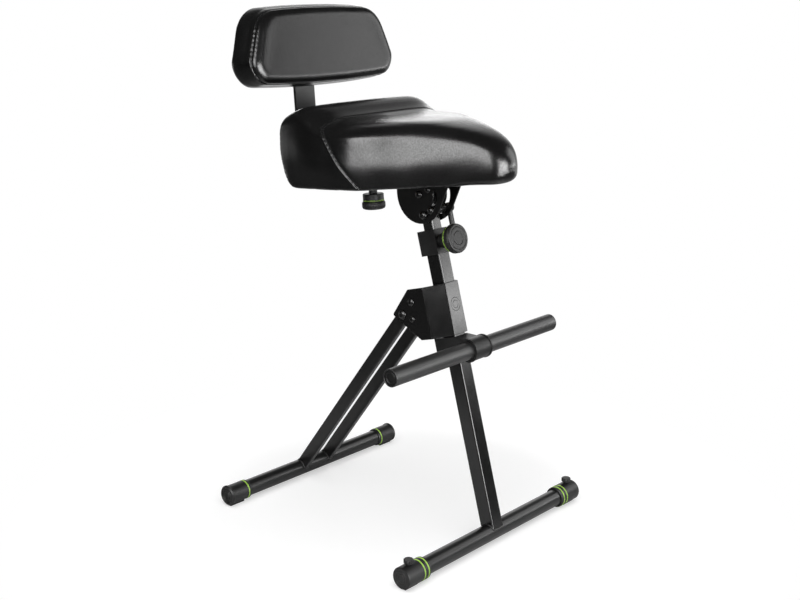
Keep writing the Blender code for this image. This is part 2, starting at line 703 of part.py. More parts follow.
def bracket_fasteners(parent):
    """The fold pivot bolt and nut, the stop bolt with its sleeve, and the tie bolt with its spacer."""
    outside = LEG_OUTER_HALF + GAP + SHEET + GAP
    at = Matrix.Translation((-outside, FOLD_PIVOT_BEHIND, FOLD_PIVOT_UP)) @ ALONG_X
    reach = 2 * outside + FOLD_NUT + SHEET / 2
    bolt = dome_pin(FOLD_BOLT_D, reach, FOLD_HEAD_D)
    part("fold_pivot_bolt", bolt, BLACK_BOLT, parent, at)
    at = Matrix.Translation((outside, FOLD_PIVOT_BEHIND, FOLD_PIVOT_UP)) @ ALONG_X
    part("fold_pivot_nut", hex_nut(FOLD_BOLT_D, FOLD_NUT_ACROSS, FOLD_NUT), BLACK_BOLT, parent, at)

    for name, cover, (behind, up), diameter, head_d, cover_d in (
        ("leg_stop_bolt", "leg_stop_sleeve", stop_place(), STOP_BOLT_D, STOP_HEAD_D, STOP_SLEEVE_D),
        ("bracket_tie_bolt", "bracket_tie_spacer", tie_place(), TIE_BOLT_D, TIE_HEAD_D, TIE_SPACER_D),
    ):
        at = Matrix.Translation((-outside, behind, up)) @ ALONG_X
        pin = dome_pin(diameter, 2 * outside, head_d, both_ends=True)
        part(name, pin, BLACK_BOLT, parent, at)
        at = Matrix.Translation((0, behind, up)) @ ALONG_X
        tube = ring(bore_radius(diameter), cover_d / 2, -LEG_OUTER_HALF, LEG_OUTER_HALF)
        part(cover, tube, BLACK_STEEL, parent, at)


# Folding rear legs


def rear_legs(fold, base):
    """Two flat tubes on the fold pivot, welded to the rear foot tube."""
    length = leg_lean()[1]
    middle = LEG_OUTER_HALF - LEG_WIDTH / 2
    for word, side in SIDES:
        tube = square_tube(LEG_WIDTH / 2, LEG_DEPTH / 2, LEG_WALL, LEG_CORNER, -length, LEG_ABOVE_PIVOT)
        leg = part("rear_leg_" + word, tube, BLACK_STEEL, fold, Matrix.Translation((side * middle, 0, 0)))
        cope(leg, "leg_saddle_" + word, -length, 2 * LEG_OUTER_HALF)
        reach = 2 * LEG_OUTER_HALF
        bore(leg, "leg_pivot_" + word, (-reach, 0, 0), (reach, 0, 0), FOLD_BOLT_D)
    inside = LEG_OUTER_HALF - LEG_WIDTH - GAP
    spacer = ring(bore_radius(FOLD_BOLT_D), LEG_SPACER_D / 2, -inside, inside)
    part("leg_spacer_tube", spacer, BLACK_STEEL, fold, ALONG_X)
    foot_tube("rear_foot_tube", STANCE, REAR_SPAN / 2 - REAR_CAP_NOSE - GAP, base)
    for word, side in SIDES:
        rear_cap("rear_cap_" + word, side, base)


# Footrest


def footrest(parent):
    """A clamp that slides on the post and carries a round bar across it; parent sits on the bar axis."""
    back = REST_FRONT  # the post axis lies this far behind the bar
    ring_r = REST_BAR_D / 2 + GAP + REST_RING_WALL
    half = POST_SIZE / 2 + GAP
    low, high = -REST_SLEEVE_BELOW, REST_SLEEVE_ABOVE
    wide = half + REST_SLEEVE_SIDE
    rear = back + half + REST_SLEEVE_BACK
    body = part("footrest_clamp", clamp_block(wide, back, rear, low, high), BLACK_PLASTIC, parent)
    edge = REST_RING_HALF - REST_FLANGE
    proud = ring_r + REST_FLANGE_PROUD
    profile = [(0, -REST_RING_HALF), (proud, -REST_RING_HALF), (proud, -edge), (ring_r, -edge)]
    profile += [(ring_r, edge), (proud, edge), (proud, REST_RING_HALF), (0, REST_RING_HALF)]
    boolean(body, helper("rest_ring", lathe(profile), parent, ALONG_X), "UNION")
    reach = REST_RING_HALF + REST_FLANGE
    bore(body, "rest_bar_bore", (-reach, 0, 0), (reach, 0, 0), REST_BAR_D)
    hole = prism([(x, y + back) for x, y in rounded(half, half, POST_CORNER)], 2 * low, 2 * high)
    boolean(body, helper("rest_post_hole", hole, parent), "DIFFERENCE")
    screw_y = rear - REST_SLEEVE_BACK / 2
    bore(body, "rest_screw", (-GAP, screw_y, 0), (2 * wide, screw_y, 0), REST_SCREW_D)

    bar = round_tube(REST_BAR_D, REST_BAR_WALL, -REST_LENGTH / 2, REST_LENGTH / 2)
    part("footrest_bar", bar, BLACK_STEEL, parent, ALONG_X)
    bore_r = (REST_BAR_D / 2 - REST_BAR_WALL) * math.cos(math.pi / ROUND) - GAP
    for word, side in SIDES:
        end = side * (REST_LENGTH / 2 - REST_PLUG_RECESS)
        at = Matrix.Translation((end, 0, 0)) @ Matrix.Rotation(-side * math.pi / 2, 4, "Y")
        dish = REST_PLUG_RECESS
        lip = bore_r - REST_PLUG_RIM
        profile = [(0, dish), (lip - dish, dish), (lip, 0), (bore_r, 0)]
        profile += [(bore_r, REST_PLUG_LENGTH), (0, REST_PLUG_LENGTH)]
        part("footrest_plug_" + word, lathe(profile), BLACK_PLASTIC, parent, at)
    at = Matrix.Translation((wide + GAP, screw_y, 0)) @ Matrix.Rotation(-math.pi / 2, 4, "Y")
    screw = dome_pin(REST_SCREW_D, wide, REST_SCREW_HEAD_D)
    part("footrest_clamp_screw", screw, BLACK_BOLT, parent, at)


def clamp_block(wide, middle, rear, low, high):
    """The clamp's body round the post; its top slopes down to the bar in front."""
    front_top = REST_BAR_D / 2 + REST_RING_WALL / 2
    profile = [(0, low), (rear, low), (rear, high), (middle - POST_SIZE / 2, high), (0, front_top)]
    return loft([[(x, y, z) for y, z in profile] for x in (-wide, wide)])


# Height clamp


def height_clamp(parent):
    half = POST_SIZE / 2
    outline = [
        (-half - GAP - COLLAR_SIDE, -half - GAP - COLLAR_FRONT),
        (half + GAP + COLLAR_SIDE, -half - GAP - COLLAR_FRONT),
        (half + GAP + COLLAR_SIDE, half + GAP + COLLAR_BACK),
        (-half - GAP - COLLAR_SIDE, half + GAP + COLLAR_BACK),
    ]
    collar = part("height_collar", prism(outline, COLLAR_BOTTOM, COLLAR_TOP), BLACK_PLASTIC, parent)
    hub_start = -half - GAP - COLLAR_FRONT / 2
    hub = rod_between((0, hub_start, KNOB_UP), (0, -KNOB_REAR + GAP, KNOB_UP), COLLAR_HUB_D / 2)
    boolean(collar, helper("collar_hub", hub, parent), "UNION")
    lip = POST_TOP + GAP + GUIDE_FLANGE + GAP
    socket = prism(rounded(half + GAP, half + GAP, POST_CORNER), COLLAR_BOTTOM - half, lip)
    boolean(collar, helper("collar_socket", socket, parent), "DIFFERENCE")
    slide = INNER_SIZE / 2 + GAP
    mouth = prism(rounded(slide, slide, INNER_CORNER), COLLAR_BOTTOM, COLLAR_TOP + half)
    boolean(collar, helper("collar_mouth", mouth, parent), "DIFFERENCE")
    bore(collar, "collar_stud", (0, -2 * KNOB_REAR, KNOB_UP), (0, 0, KNOB_UP), KNOB_STUD_D)

    inner = rounded(slide, slide, INNER_CORNER)
    fit = half - POST_WALL - GAP
    sleeve_outline = rounded(fit, fit, INNER_CORNER)
    flange_outline = rounded(half, half, POST_CORNER)
    loops = [
        [(x, y, POST_TOP - GUIDE_LENGTH) for x, y in inner],
        [(x, y, POST_TOP - GUIDE_LENGTH) for x, y in sleeve_outline],
        [(x, y, POST_TOP + GAP) for x, y in sleeve_outline],
        [(x, y, POST_TOP + GAP) for x, y in flange_outline],
        [(x, y, POST_TOP + GAP + GUIDE_FLANGE) for x, y in flange_outline],
        [(x, y, POST_TOP + GAP + GUIDE_FLANGE) for x, y in inner],
    ]
    tube = weld(loft(loops + loops[:1], closed_ends=False))
    sleeve = part("post_guide_sleeve", tube, BLACK_PLASTIC, parent)
    bore(sleeve, "sleeve_stud", (0, -POST_SIZE, KNOB_UP), (0, 0, KNOB_UP), KNOB_STUD_D)


def ringed_knob(name, axis, diameter, step, height, ring_place, stud_profile, turn):
    """A turned clamping knob along Z from its back to its face, and the coloured ring in its groove."""
    r, back_r = diameter / 2, diameter / 2 - step
    low = ring_place - RING_WIDTH / 2 - GAP
    high = ring_place + RING_WIDTH / 2 + GAP
    groove = back_r - RING_DEPTH
    middle = KNOB_ROUND * ROUND_MIDDLE
    profile = stud_profile + [(back_r - KNOB_CHAMFER, 0), (back_r, KNOB_CHAMFER), (back_r, low)]
    profile += [(groove, low), (groove, high), (back_r, high), (r, high + step)]
    profile += [(r, height - KNOB_ROUND), (r - middle, height - middle)]
    profile += [(r - KNOB_ROUND, height), (0, height)]
    part(name, lathe(profile), BLACK_PLASTIC, axis, turn)
    band = ring(groove + GAP, back_r + RING_PROUD, low + GAP, high - GAP)
    part(name + "_ring", band, LIME, axis, turn)


def height_knob(parent):
    """The knob in front of the height clamp; its stud presses on the inner post."""
    socket = KNOB_STUD_D / 2 + GAP
    stud_profile = [(0, STUD_IN_KNOB), (socket, STUD_IN_KNOB), (socket, 0)]
    at = Matrix.Translation((0, -KNOB_REAR, 0)) @ ALONG_MINUS_Y
    depth, ring_place = KNOB_DEPTH, KNOB_RING_PLACE
    ringed_knob("height_knob", parent, KNOB_D, KNOB_STEP, depth, ring_place, stud_profile, at)
    end = -KNOB_REAR - STUD_IN_KNOB + GAP
    stud = rod_between((0, -INNER_SIZE / 2 - GAP, 0), (0, end, 0), KNOB_STUD_D / 2)
    part("height_knob_stud", stud, BLACK_BOLT, parent)


# Inner post and tilt mechanism


def tilt_point(radius, angle):
    """A point about the tilt pivot in the post's frame; the angle runs from straight down to the front."""
    return (-radius * math.sin(angle), TILT_UP - radius * math.cos(angle))


def inner_post(parent):
    half = INNER_SIZE / 2
    top = TILT_UP + INNER_ABOVE_PIVOT
    shape = square_tube(half, half, INNER_WALL, INNER_CORNER, INNER_BOTTOM, top)
    tube = part("inner_post", shape, BLACK_STEEL, parent)
    wide = 2 * INNER_SIZE
    for name, height, diameter in (
        ("inner_pivot", TILT_UP, TILT_BOLT_D),
        ("inner_stop", TILT_UP - TILT_STOP_R, TILT_PIN_D),
    ):
        bore(tube, name, (-wide, 0, height), (wide, 0, height), diameter)

    flange = rounded(POST_SIZE / 2 - POST_WALL - GAP, POST_SIZE / 2 - POST_WALL - GAP, INNER_CORNER)
    spigot_half = half - INNER_WALL - GAP
    spigot = rounded(spigot_half, spigot_half, INNER_CORNER / 2)
    seat = INNER_BOTTOM - GAP
    loops = [
        [(x, y, seat - GLIDE_FLANGE) for x, y in flange],
        [(x, y, seat) for x, y in flange],
        [(x, y, seat) for x, y in spigot],
        [(x, y, seat + GLIDE_SPIGOT) for x, y in spigot],
    ]
    part("inner_post_glide", loft(loops), BLACK_PLASTIC, parent)

    lug_y, lug_z = tilt_point(TILT_STOP_R, TILT_LEVER_AT)
    lug_r = -lug_y - half - GAP
    inside = TILT_PLATE_MID - SHEET / 2 - GAP
    at = Matrix.Translation((0, lug_y, lug_z)) @ ALONG_X
    part("tilt_clamp_lug", ring(bore_radius(TILT_PIN_D), lug_r, -inside, inside), BLACK_STEEL, parent, at)

    outside = TILT_PLATE_MID + SHEET / 2 + GAP
    at = Matrix.Translation((-outside, 0, TILT_UP)) @ ALONG_X
    bolt = dome_pin(TILT_BOLT_D, 2 * outside + TILT_NUT + GAP, TILT_HEAD_D)
    part("tilt_pivot_bolt", bolt, BLACK_BOLT, parent, at)
    at = Matrix.Translation((outside, 0, TILT_UP)) @ ALONG_X
    part("tilt_pivot_nut", hex_nut(TILT_BOLT_D, TILT_NUT_ACROSS, TILT_NUT), BLACK_BOLT, parent, at)
    at = Matrix.Translation((-outside, 0, TILT_UP - TILT_STOP_R)) @ ALONG_X
    pin = dome_pin(TILT_PIN_D, 2 * outside, TILT_STOP_HEAD_D, both_ends=True)
    part("tilt_stop_pin", pin, BLACK_BOLT, parent, at)
    for word, side in SIDES:
        low, high = sorted((side * (half + GAP), side * inside))
        at = Matrix.Translation((0, 0, TILT_UP)) @ ALONG_X
        tube = ring(bore_radius(TILT_BOLT_D), TILT_SPACER_D / 2, low, high)
        part("tilt_spacer_" + word, tube, BLACK_STEEL, parent, at)


def tilt_lever(parent):
    """A clamping lever on the left end of the tilt clamp bolt; parent sits on the bolt's axis."""
    outside = TILT_PLATE_MID + SHEET / 2 + GAP
    end = LEVER_OUT + LEVER_BAR
    hub = rod_between((outside, 0, 0), (end, 0, 0), LEVER_HUB_D / 2)
    lever = part("tilt_lever", hub, BLACK_PLASTIC, parent)
    rod = LEVER_BAR / 2
    tip = -LEVER_LENGTH
    profile = [(0, tip), (rod - LEVER_TIP, tip), (rod, tip + 2 * LEVER_TIP), (rod, 0), (0, 0)]
    at = Matrix.Translation((LEVER_OUT + rod, 0, 0))
    boolean(lever, helper("lever_rod", lathe(profile, SMALL_ROUND), parent, at), "UNION")
    blind = LEVER_OUT + CLAMP_IN_LEVER
    bore(lever, "lever_bolt", (0, 0, 0), (blind, 0, 0), TILT_PIN_D)
    at = Matrix.Translation((-outside, 0, 0)) @ ALONG_X
    bolt = dome_pin(TILT_PIN_D, outside + blind - GAP, TILT_CLAMP_HEAD_D)
    part("tilt_clamp_bolt", bolt, BLACK_BOLT, parent, at)


def tilt_plate(word, side, parent):
    """A cheek under the seat with an arc slot round the pivot and a flange on the seat board."""
    top = SEAT_BASE - GAP
    r = TILT_PLATE_R
    edge = TILT_FRONT_EDGE
    start = math.pi + edge  # where the slanted front edge meets the arc
    arc = [start + (2 * math.pi - start) * i / ARC_STEPS for i in range(ARC_STEPS + 1)]
    outline = [(r * math.cos(a), r * math.sin(a)) for a in arc]
    foot_y, foot_z = outline[0]
    front = foot_y - (top - foot_z) * math.tan(edge)
    outline = [(front, top)] + outline + [(r, top)]
    inner, outer = TILT_PLATE_MID - SHEET / 2, TILT_PLATE_MID + SHEET / 2
    loops = [[(side * x, y, z) for y, z in outline] for x in (inner, outer)]
    name = "tilt_plate_" + word
    plate = part(name, loft(loops), BLACK_STEEL, parent, smooth=False)
    low, high = sorted((side * inner, side * (inner + FLANGE_WIDTH)))
    flange = box((low, front, top - SHEET), (high, r, top))
    boolean(plate, helper(name + "_flange", flange, parent), "UNION")
    bore(plate, name + "_pivot", (-outer * 2, 0, 0), (outer * 2, 0, 0), TILT_BOLT_D)
    y, z = tie_pin_place()
    bore(plate, name + "_tie", (-outer * 2, y, z), (outer * 2, y, z), TIE_PIN_D)
    boolean(plate, helper(name + "_slot", slot_shape(side), parent), "DIFFERENCE")


def seat_from_post(y, z):
    """Turns a direction from the post's frame to the seat's frame at rest."""
    turn = POST_LEAN - SEAT_PITCH
    return (y * math.cos(turn) + z * math.sin(turn), z * math.cos(turn) - y * math.sin(turn))


def tie_pin_place():
    return seat_from_post(-TIE_PIN_FRONT, TIE_PIN_UP)


def tie_pin(parent):
    """A pin with two heads that holds the tilt plates together in front of the inner post."""
    outside = TILT_PLATE_MID + SHEET / 2 + GAP
    at = Matrix.Translation((-outside, *tie_pin_place())) @ ALONG_X
    pin = dome_pin(TIE_PIN_D, 2 * outside, TIE_PIN_HEAD_D, both_ends=True)
    part("tilt_tie_pin", pin, BLACK_BOLT, parent, at)


def slot_shape(side):
    """The arc slot through a tilt plate, in the seat's frame at rest."""
    half = TILT_PIN_D / 2 + SLIDE_GAP

    def at(radius, angle):
        return seat_from_post(-radius * math.sin(angle), -radius * math.cos(angle))

    sweep = [TILT_SLOT_SWEEP * i / ARC_STEPS for i in range(ARC_STEPS + 1)]
    outline = [at(TILT_STOP_R + half, a) for a in sweep]
    outline += end_cap(at, TILT_SLOT_SWEEP, half, 1)
    outline += [at(TILT_STOP_R - half, a) for a in reversed(sweep)]
    outline += end_cap(at, 0, half, -1)
    inner, outer = TILT_PLATE_MID - SHEET, TILT_PLATE_MID + SHEET
    return loft([[(side * x, y, z) for y, z in outline] for x in (inner, outer)])


def end_cap(at, angle, half, sign, steps=5):
    """The rounded end of the slot, without its two corners."""
    points = []
    for i in range(1, steps):
        turn = math.pi * i / steps
        radius = TILT_STOP_R + sign * half * math.cos(turn)
        points.append(at(radius, angle + sign * half * math.sin(turn) / TILT_STOP_R))
    return points


# Saddle seat


def seat_half_width(along):
    """Widest half width of the saddle at a share of its length from the nose."""
    return SEAT_HALF_WIDTH * pchip(SEAT_PLAN, along)


def seat_section(along):
    """One slice of the saddle across the sitter: flat underside, drawn-in sides, crowned top."""
    y = SEAT_NOSE + SEAT_LENGTH * along
    half = seat_half_width(along)
    low = SEAT_BASE + SEAT_HEIGHT * pchip(SEAT_UNDERSIDE, along)
    high = SEAT_BASE + SEAT_HEIGHT * pchip(SEAT_CROWN, along)
    middle = low + (high - low) * SEAT_BULGE
    edge = min(SEAT_EDGE, (middle - low) / 2)
    foot = half * (1 - SEAT_DRAW)
    power = 2 / (SEAT_SQUARE_NOSE + (SEAT_SQUARE_REAR - SEAT_SQUARE_NOSE) * along)
    right = [(foot - edge, low), (foot - edge * ROUND_MIDDLE, low + edge * ROUND_MIDDLE)]
    for i in range(SEAT_SIDE_POINTS):
        share = i / SEAT_SIDE_POINTS
        z = low + edge + (middle - low - edge) * share
        right.append((half - (half - foot) * (1 - share) ** 2, z))
    for i in range(SEAT_CROWN_POINTS):
        a = math.pi / 2 * i / SEAT_CROWN_POINTS
        right.append((half * math.cos(a) ** power, middle + (high - middle) * math.sin(a) ** power))
    left = [(-x, z) for x, z in reversed(right)]
    return [(x, y, z) for x, z in right + [(0, high)] + left]


def board_outline(inset):
    """Plan of the seat board: the saddle's outline drawn in."""
    front, rear = SEAT_NOSE + BOARD_END + inset, SEAT_REAR - BOARD_END - inset
    right = []
    for i in range(BOARD_STATIONS + 1):
        y = front + (rear - front) * i / BOARD_STATIONS
        half = seat_half_width((y - SEAT_NOSE) / SEAT_LENGTH) * (1 - SEAT_DRAW)
        right.append((half - inset, y))
    return right + [(-x, y) for x, y in reversed(right)]


def seat(parent):
    turns = [math.pi * i / SEAT_STATIONS for i in range(SEAT_STATIONS + 1)]
    loops = [seat_section((1 - math.cos(a)) / 2) for a in turns]  # closer together at both ends
    cushion = part("seat_cushion", loft(loops), LEATHERETTE, parent)
    pocket = prism(board_outline(BOARD_INSET - GAP), SEAT_BASE - BOARD, SEAT_BASE + BOARD + GAP)
    boolean(cushion, helper("seat_pocket", pocket, parent), "DIFFERENCE")
    board = prism(board_outline(BOARD_INSET), SEAT_BASE, SEAT_BASE + BOARD)
    part("seat_board", board, PLYWOOD, parent, smooth=False)
    for word, side in SIDES:
        tilt_plate(word, side, parent)
    tie_pin(parent)
    arm_guide(parent)


def arm_guide(parent):
    """A hat-shaped channel under the seat board that the backrest arm slides in, with a nut for its knob."""
    top = SEAT_BASE - GAP
    floor = GUIDE_FLOOR
    inner = ARM_WIDTH / 2 + GAP * 2
    wing = inner + SHEET + GUIDE_WING
    right = [(wing, top), (inner, top), (inner, floor)]
    under = [(wing, top - SHEET), (inner + SHEET, top - SHEET), (inner + SHEET, floor - SHEET)]
    section = right + [(-x, z) for x, z in reversed(right)]
    section += [(-x, z) for x, z in under] + under[::-1]
    loops = [[(x, y, z) for x, z in section] for y in (GUIDE_FRONT, GUIDE_REAR)]
    guide = part("arm_guide", loft(loops), BLACK_STEEL, parent, smooth=False)
    place = ARM_KNOB_PLACE
    nut = rod_between((0, place, ARM_NUT_LOW), (0, place, floor - SHEET / 2), ARM_NUT_D / 2)
    boolean(guide, helper("arm_nut", nut, parent), "UNION")
    bore(guide, "arm_stud", (0, place, ARM_NUT_LOW - ARM), (0, place, top), ARM_KNOB_STUD_D)


def arm_knob(parent):
    """The knob under the seat that clamps the backrest arm; its stud presses up on the arm."""
    stud, neck = ARM_KNOB_STUD_D / 2, ARM_KNOB_NECK_D / 2
    tip = ARM_KNOB_TOP - GUIDE_FLOOR
    shoulder = -ARM_KNOB_NECK
    stud_profile = [(0, tip), (stud, tip), (stud, shoulder), (neck, shoulder), (neck, 0)]
    at = Matrix.Translation((0, 0, ARM_KNOB_TOP)) @ Matrix.Rotation(math.pi, 4, "X")
    height, ring_place = ARM_KNOB_HEIGHT, ARM_KNOB_RING_PLACE
    ringed_knob("arm_knob", parent, ARM_KNOB_D, ARM_KNOB_STEP, height, ring_place, stud_profile, at)


# Backrest


def backrest_outline(inset):
    """A rounded trapezoid in the plane of the backrest, wider below, its long edges bowed, as (x, up)."""
    low, high = BACK_MIDDLE - BACK_HEIGHT / 2 + inset, BACK_MIDDLE + BACK_HEIGHT / 2 - inset
    wide, narrow = BACK_BOTTOM_HALF - inset, BACK_TOP_HALF - inset
    corners = [(wide, low), (narrow, high), (-narrow, high), (-wide, low)]
    radii = [BACK_BOTTOM_CORNER, BACK_TOP_CORNER, BACK_TOP_CORNER, BACK_BOTTOM_CORNER]
    arcs = []
    for k, radius in enumerate(radii):
        smaller = max(radius - inset, radius * CORNER_KEPT)
        arcs.append(round_corner(corners[k - 1], corners[k], corners[(k + 1) % 4], smaller))
    points = arcs[0] + arcs[1] + between(arcs[1], arcs[2]) + arcs[2] + arcs[3] + between(arcs[3], arcs[0])
    half = (high - low) / 2
    return [(x, z + BACK_BOW * (z - BACK_MIDDLE) / half * (1 - (x / wide) ** 2)) for x, z in points]


def between(arc, following):
    """Points on the straight edge from the end of one arc to the start of the next."""
    start, end = Vector(arc[-1]), Vector(following[0])
    return [tuple(start.lerp(end, i / BACK_BOW_STEPS)) for i in range(1, BACK_BOW_STEPS)]


def round_corner(before, at, after, radius, steps=5):
    """Points of an arc that rounds the corner at."""
    here = Vector(at)
    a, b = (Vector(before) - here).normalized(), (Vector(after) - here).normalized()
    half = a.angle(b) / 2
    centre = here + (a + b).normalized() * (radius / math.sin(half))
    first, last = here + a * (radius / math.tan(half)), here + b * (radius / math.tan(half))
    points = []
    for i in range(steps + 1):
        mix = first.lerp(last, i / steps) - centre
        points.append(tuple(centre + mix.normalized() * radius))
    return points


def backrest(parent):
    """The bent arm, the board and cushion on it, and the screws; parent sits at the tilt pivot."""
    front = SEAT_REAR + ARM_BEHIND_SEAT
    rear = front + ARM
    end, top = GUIDE_FRONT + ARM_IN_GUIDE, BACK_MIDDLE + ARM_ABOVE_MIDDLE
    bend_y, bend_z = front - ARM_BEND, ARM_HIGH + ARM_BEND
    turns = [math.pi / 2 * (i / BEND_STEPS - 1) for i in range(BEND_STEPS + 1)]
    bends = []
    for r in (ARM_BEND, ARM_BEND + ARM):
        bends.append([(bend_y + r * math.cos(a), bend_z + r * math.sin(a)) for a in turns])
    inside, outside = bends
    profile = [(end, ARM_LOW)] + outside + [(rear, top), (front, top)] + inside[::-1] + [(end, ARM_HIGH)]
    loops = [[(x, y, z) for y, z in profile] for x in (-ARM_WIDTH / 2, ARM_WIDTH / 2)]
    arm = part("backrest_arm", loft(loops), BLACK_STEEL, parent)

    back = front - GAP
    outline = backrest_outline(BACK_BOARD_INSET)
    loops = [[(x, y, z) for x, z in outline] for y in (back - BACK_BOARD, back)]
    board = part("backrest_board", loft(loops), PLYWOOD, parent, smooth=False)
    depth = ARM + BACK_BOARD / 2
    for number, side in enumerate((-1, 1), 1):
        z = BACK_MIDDLE - BACK_SCREW_DROP + side * BACK_SCREW_SPACING / 2
        for piece in (arm, board):
            name = f"back_screw_{number}_{piece.name}"
            bore(piece, name, (0, rear + ARM, z), (0, rear - depth - GAP, z), BACK_SCREW_D)
        at = Matrix.Translation((0, rear + GAP, z)) @ ALONG_MINUS_Y
        screw = dome_pin(BACK_SCREW_D, depth, BACK_SCREW_HEAD_D)
        part(f"backrest_screw_{number}", screw, BLACK_BOLT, parent, at)

    foam = back - BACK_BOARD - GAP
    loops = []
    for share, drawn_in in BACK_SLICES:
        y = foam - BACK_DEPTH * share
        loops.append([(x, y, z) for x, z in backrest_outline(BACK_RIM * drawn_in)])
    face = foam - BACK_DEPTH - BACK_CROWN
    middle = Vector((0, face, BACK_MIDDLE))
    loops.append([middle.lerp((x, face, z), BACK_CROWN_SHARE) for x, z in backrest_outline(BACK_RIM)])
    part("backrest_cushion", loft(loops), LEATHERETTE, parent)


def centre_on_floor(stool):
    """Moves the whole stool so that the origin is the middle of its footprint."""
    bpy.context.view_layer.update()
    graph = bpy.context.evaluated_depsgraph_get()
    low, high = Vector((1e9,) * 3), Vector((-1e9,) * 3)
    for obj in bpy.data.objects:
        if obj.type != "MESH" or obj.hide_render:
            continue
        evaluated = obj.evaluated_get(graph)
        for vertex in evaluated.data.vertices:
            point = evaluated.matrix_world @ vertex.co
            low = Vector(map(min, low, point))
            high = Vector(map(max, high, point))
    stool.location = (-(low.x + high.x) / 2, -(low.y + high.y) / 2, -low.z)
    bpy.context.view_layer.update()


def main():
    clear_scene()
    stool = frame("stool")
    foot_tube("front_foot_tube", 0, FRONT_SPAN / 2 - FRONT_CAP_NOSE - GAP, stool)
    for word, side in SIDES:
        screw_x = front_cap("front_cap_" + word, side, stool)
        levelling_screw("levelling_screw_" + word, screw_x, stool)

    post = frame("post_axis", stool, (0, 0, FOOT_UP), -POST_LEAN)
    outer_post(post)
    hinge_bracket(post)
    bracket_fasteners(post)
    height_clamp(post)
    fold = frame("fold_axis", post, (0, FOLD_PIVOT_BEHIND, FOLD_PIVOT_UP), POST_LEAN + leg_lean()[0])
    rear_legs(fold, stool)
    footrest(frame("footrest_slide", post, (0, -REST_FRONT, REST_UP)))
    height_knob(frame("height_knob_axis", post, (0, 0, KNOB_UP)))

    seat_post = frame("seat_post_slide", post)
    inner_post(seat_post)
    lever_y, lever_z = tilt_point(TILT_STOP_R, TILT_LEVER_AT)
    tilt_lever(frame("tilt_lever_axis", seat_post, (0, lever_y, lever_z)))
    tilt = frame("tilt_axis", seat_post, (0, 0, TILT_UP), POST_LEAN - SEAT_PITCH)
    seat(tilt)
    backrest(frame("backrest_slide", tilt))
    arm_knob(frame("arm_knob_axis", tilt, (0, ARM_KNOB_PLACE, 0)))
    centre_on_floor(stool)


main()
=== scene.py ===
"""Looks of the folding sit-stand stool: finishes, upholstery, trim, studio and camera."""

import math

import bmesh
import bpy
import numpy as np
from mathutils import Matrix, Vector
from mathutils.bvhtree import BVHTree
from mathutils.kdtree import KDTree


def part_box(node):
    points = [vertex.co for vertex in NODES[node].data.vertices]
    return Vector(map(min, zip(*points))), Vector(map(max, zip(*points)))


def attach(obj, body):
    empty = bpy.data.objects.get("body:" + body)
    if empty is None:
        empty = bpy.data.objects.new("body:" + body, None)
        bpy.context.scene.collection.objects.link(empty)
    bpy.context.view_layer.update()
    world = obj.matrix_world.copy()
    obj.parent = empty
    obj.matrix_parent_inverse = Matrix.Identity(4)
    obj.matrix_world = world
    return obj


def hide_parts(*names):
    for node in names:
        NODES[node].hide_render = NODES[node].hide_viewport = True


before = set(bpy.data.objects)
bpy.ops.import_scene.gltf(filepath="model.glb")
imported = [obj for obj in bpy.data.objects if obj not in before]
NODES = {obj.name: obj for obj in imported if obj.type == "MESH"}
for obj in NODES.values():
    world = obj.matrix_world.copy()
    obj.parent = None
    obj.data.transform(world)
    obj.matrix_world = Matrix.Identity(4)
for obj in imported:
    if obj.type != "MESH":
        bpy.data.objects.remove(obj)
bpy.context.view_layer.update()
MM = 0.001

# Frames of the CAD bodies at rest: a place, the rearward and the upward direction
POST_FOOT = Vector((0, -0.235134, 0.0208))
POST_REAR = Vector((0, 0.96363, -0.267238))
POST_UP = Vector((0, 0.267238, 0.96363))
SEAT_PLACE = Vector((0, -0.067042, 0.626924))
SEAT_REAR = Vector((0, 0.996779, -0.080199))
SEAT_UP = Vector((0, 0.080199, 0.996779))
ACROSS = Vector((1, 0, 0))


# Finishes

def finish_tree(name):
    """A new material, a function that adds nodes to it, its links and its surface node."""
    mat = bpy.data.materials.new(name)
    mat.use_nodes = True
    tree = mat.node_tree

    def add(kind, **inputs):
        node = tree.nodes.new(kind)
        for key, value in inputs.items():
            node.inputs[key.replace("_", " ")].default_value = value
        return node

    return mat, add, tree.links, tree.nodes["Principled BSDF"]


def ramp(add, links, source, low, high, at=(0.3, 0.7)):
    """A colour ramp from low to high, driven by a texture's value."""
    node = add("ShaderNodeValToRGB")
    node.color_ramp.elements[0].position = at[0]
    node.color_ramp.elements[0].color = low
    node.color_ramp.elements[1].position = at[1]
    node.color_ramp.elements[1].color = high
    links.new(source, node.inputs["Fac"])
    return node.outputs["Color"]


def grey(value):
    return (value, value, value, 1)


def bumps(add, links, surface, height, strength, depth):
    """Roughens a surface by a texture's height."""
    node = add("ShaderNodeBump", Strength=strength, Distance=depth)
    links.new(height, node.inputs["Height"])
    links.new(node.outputs["Normal"], surface.inputs["Normal"])
    return node


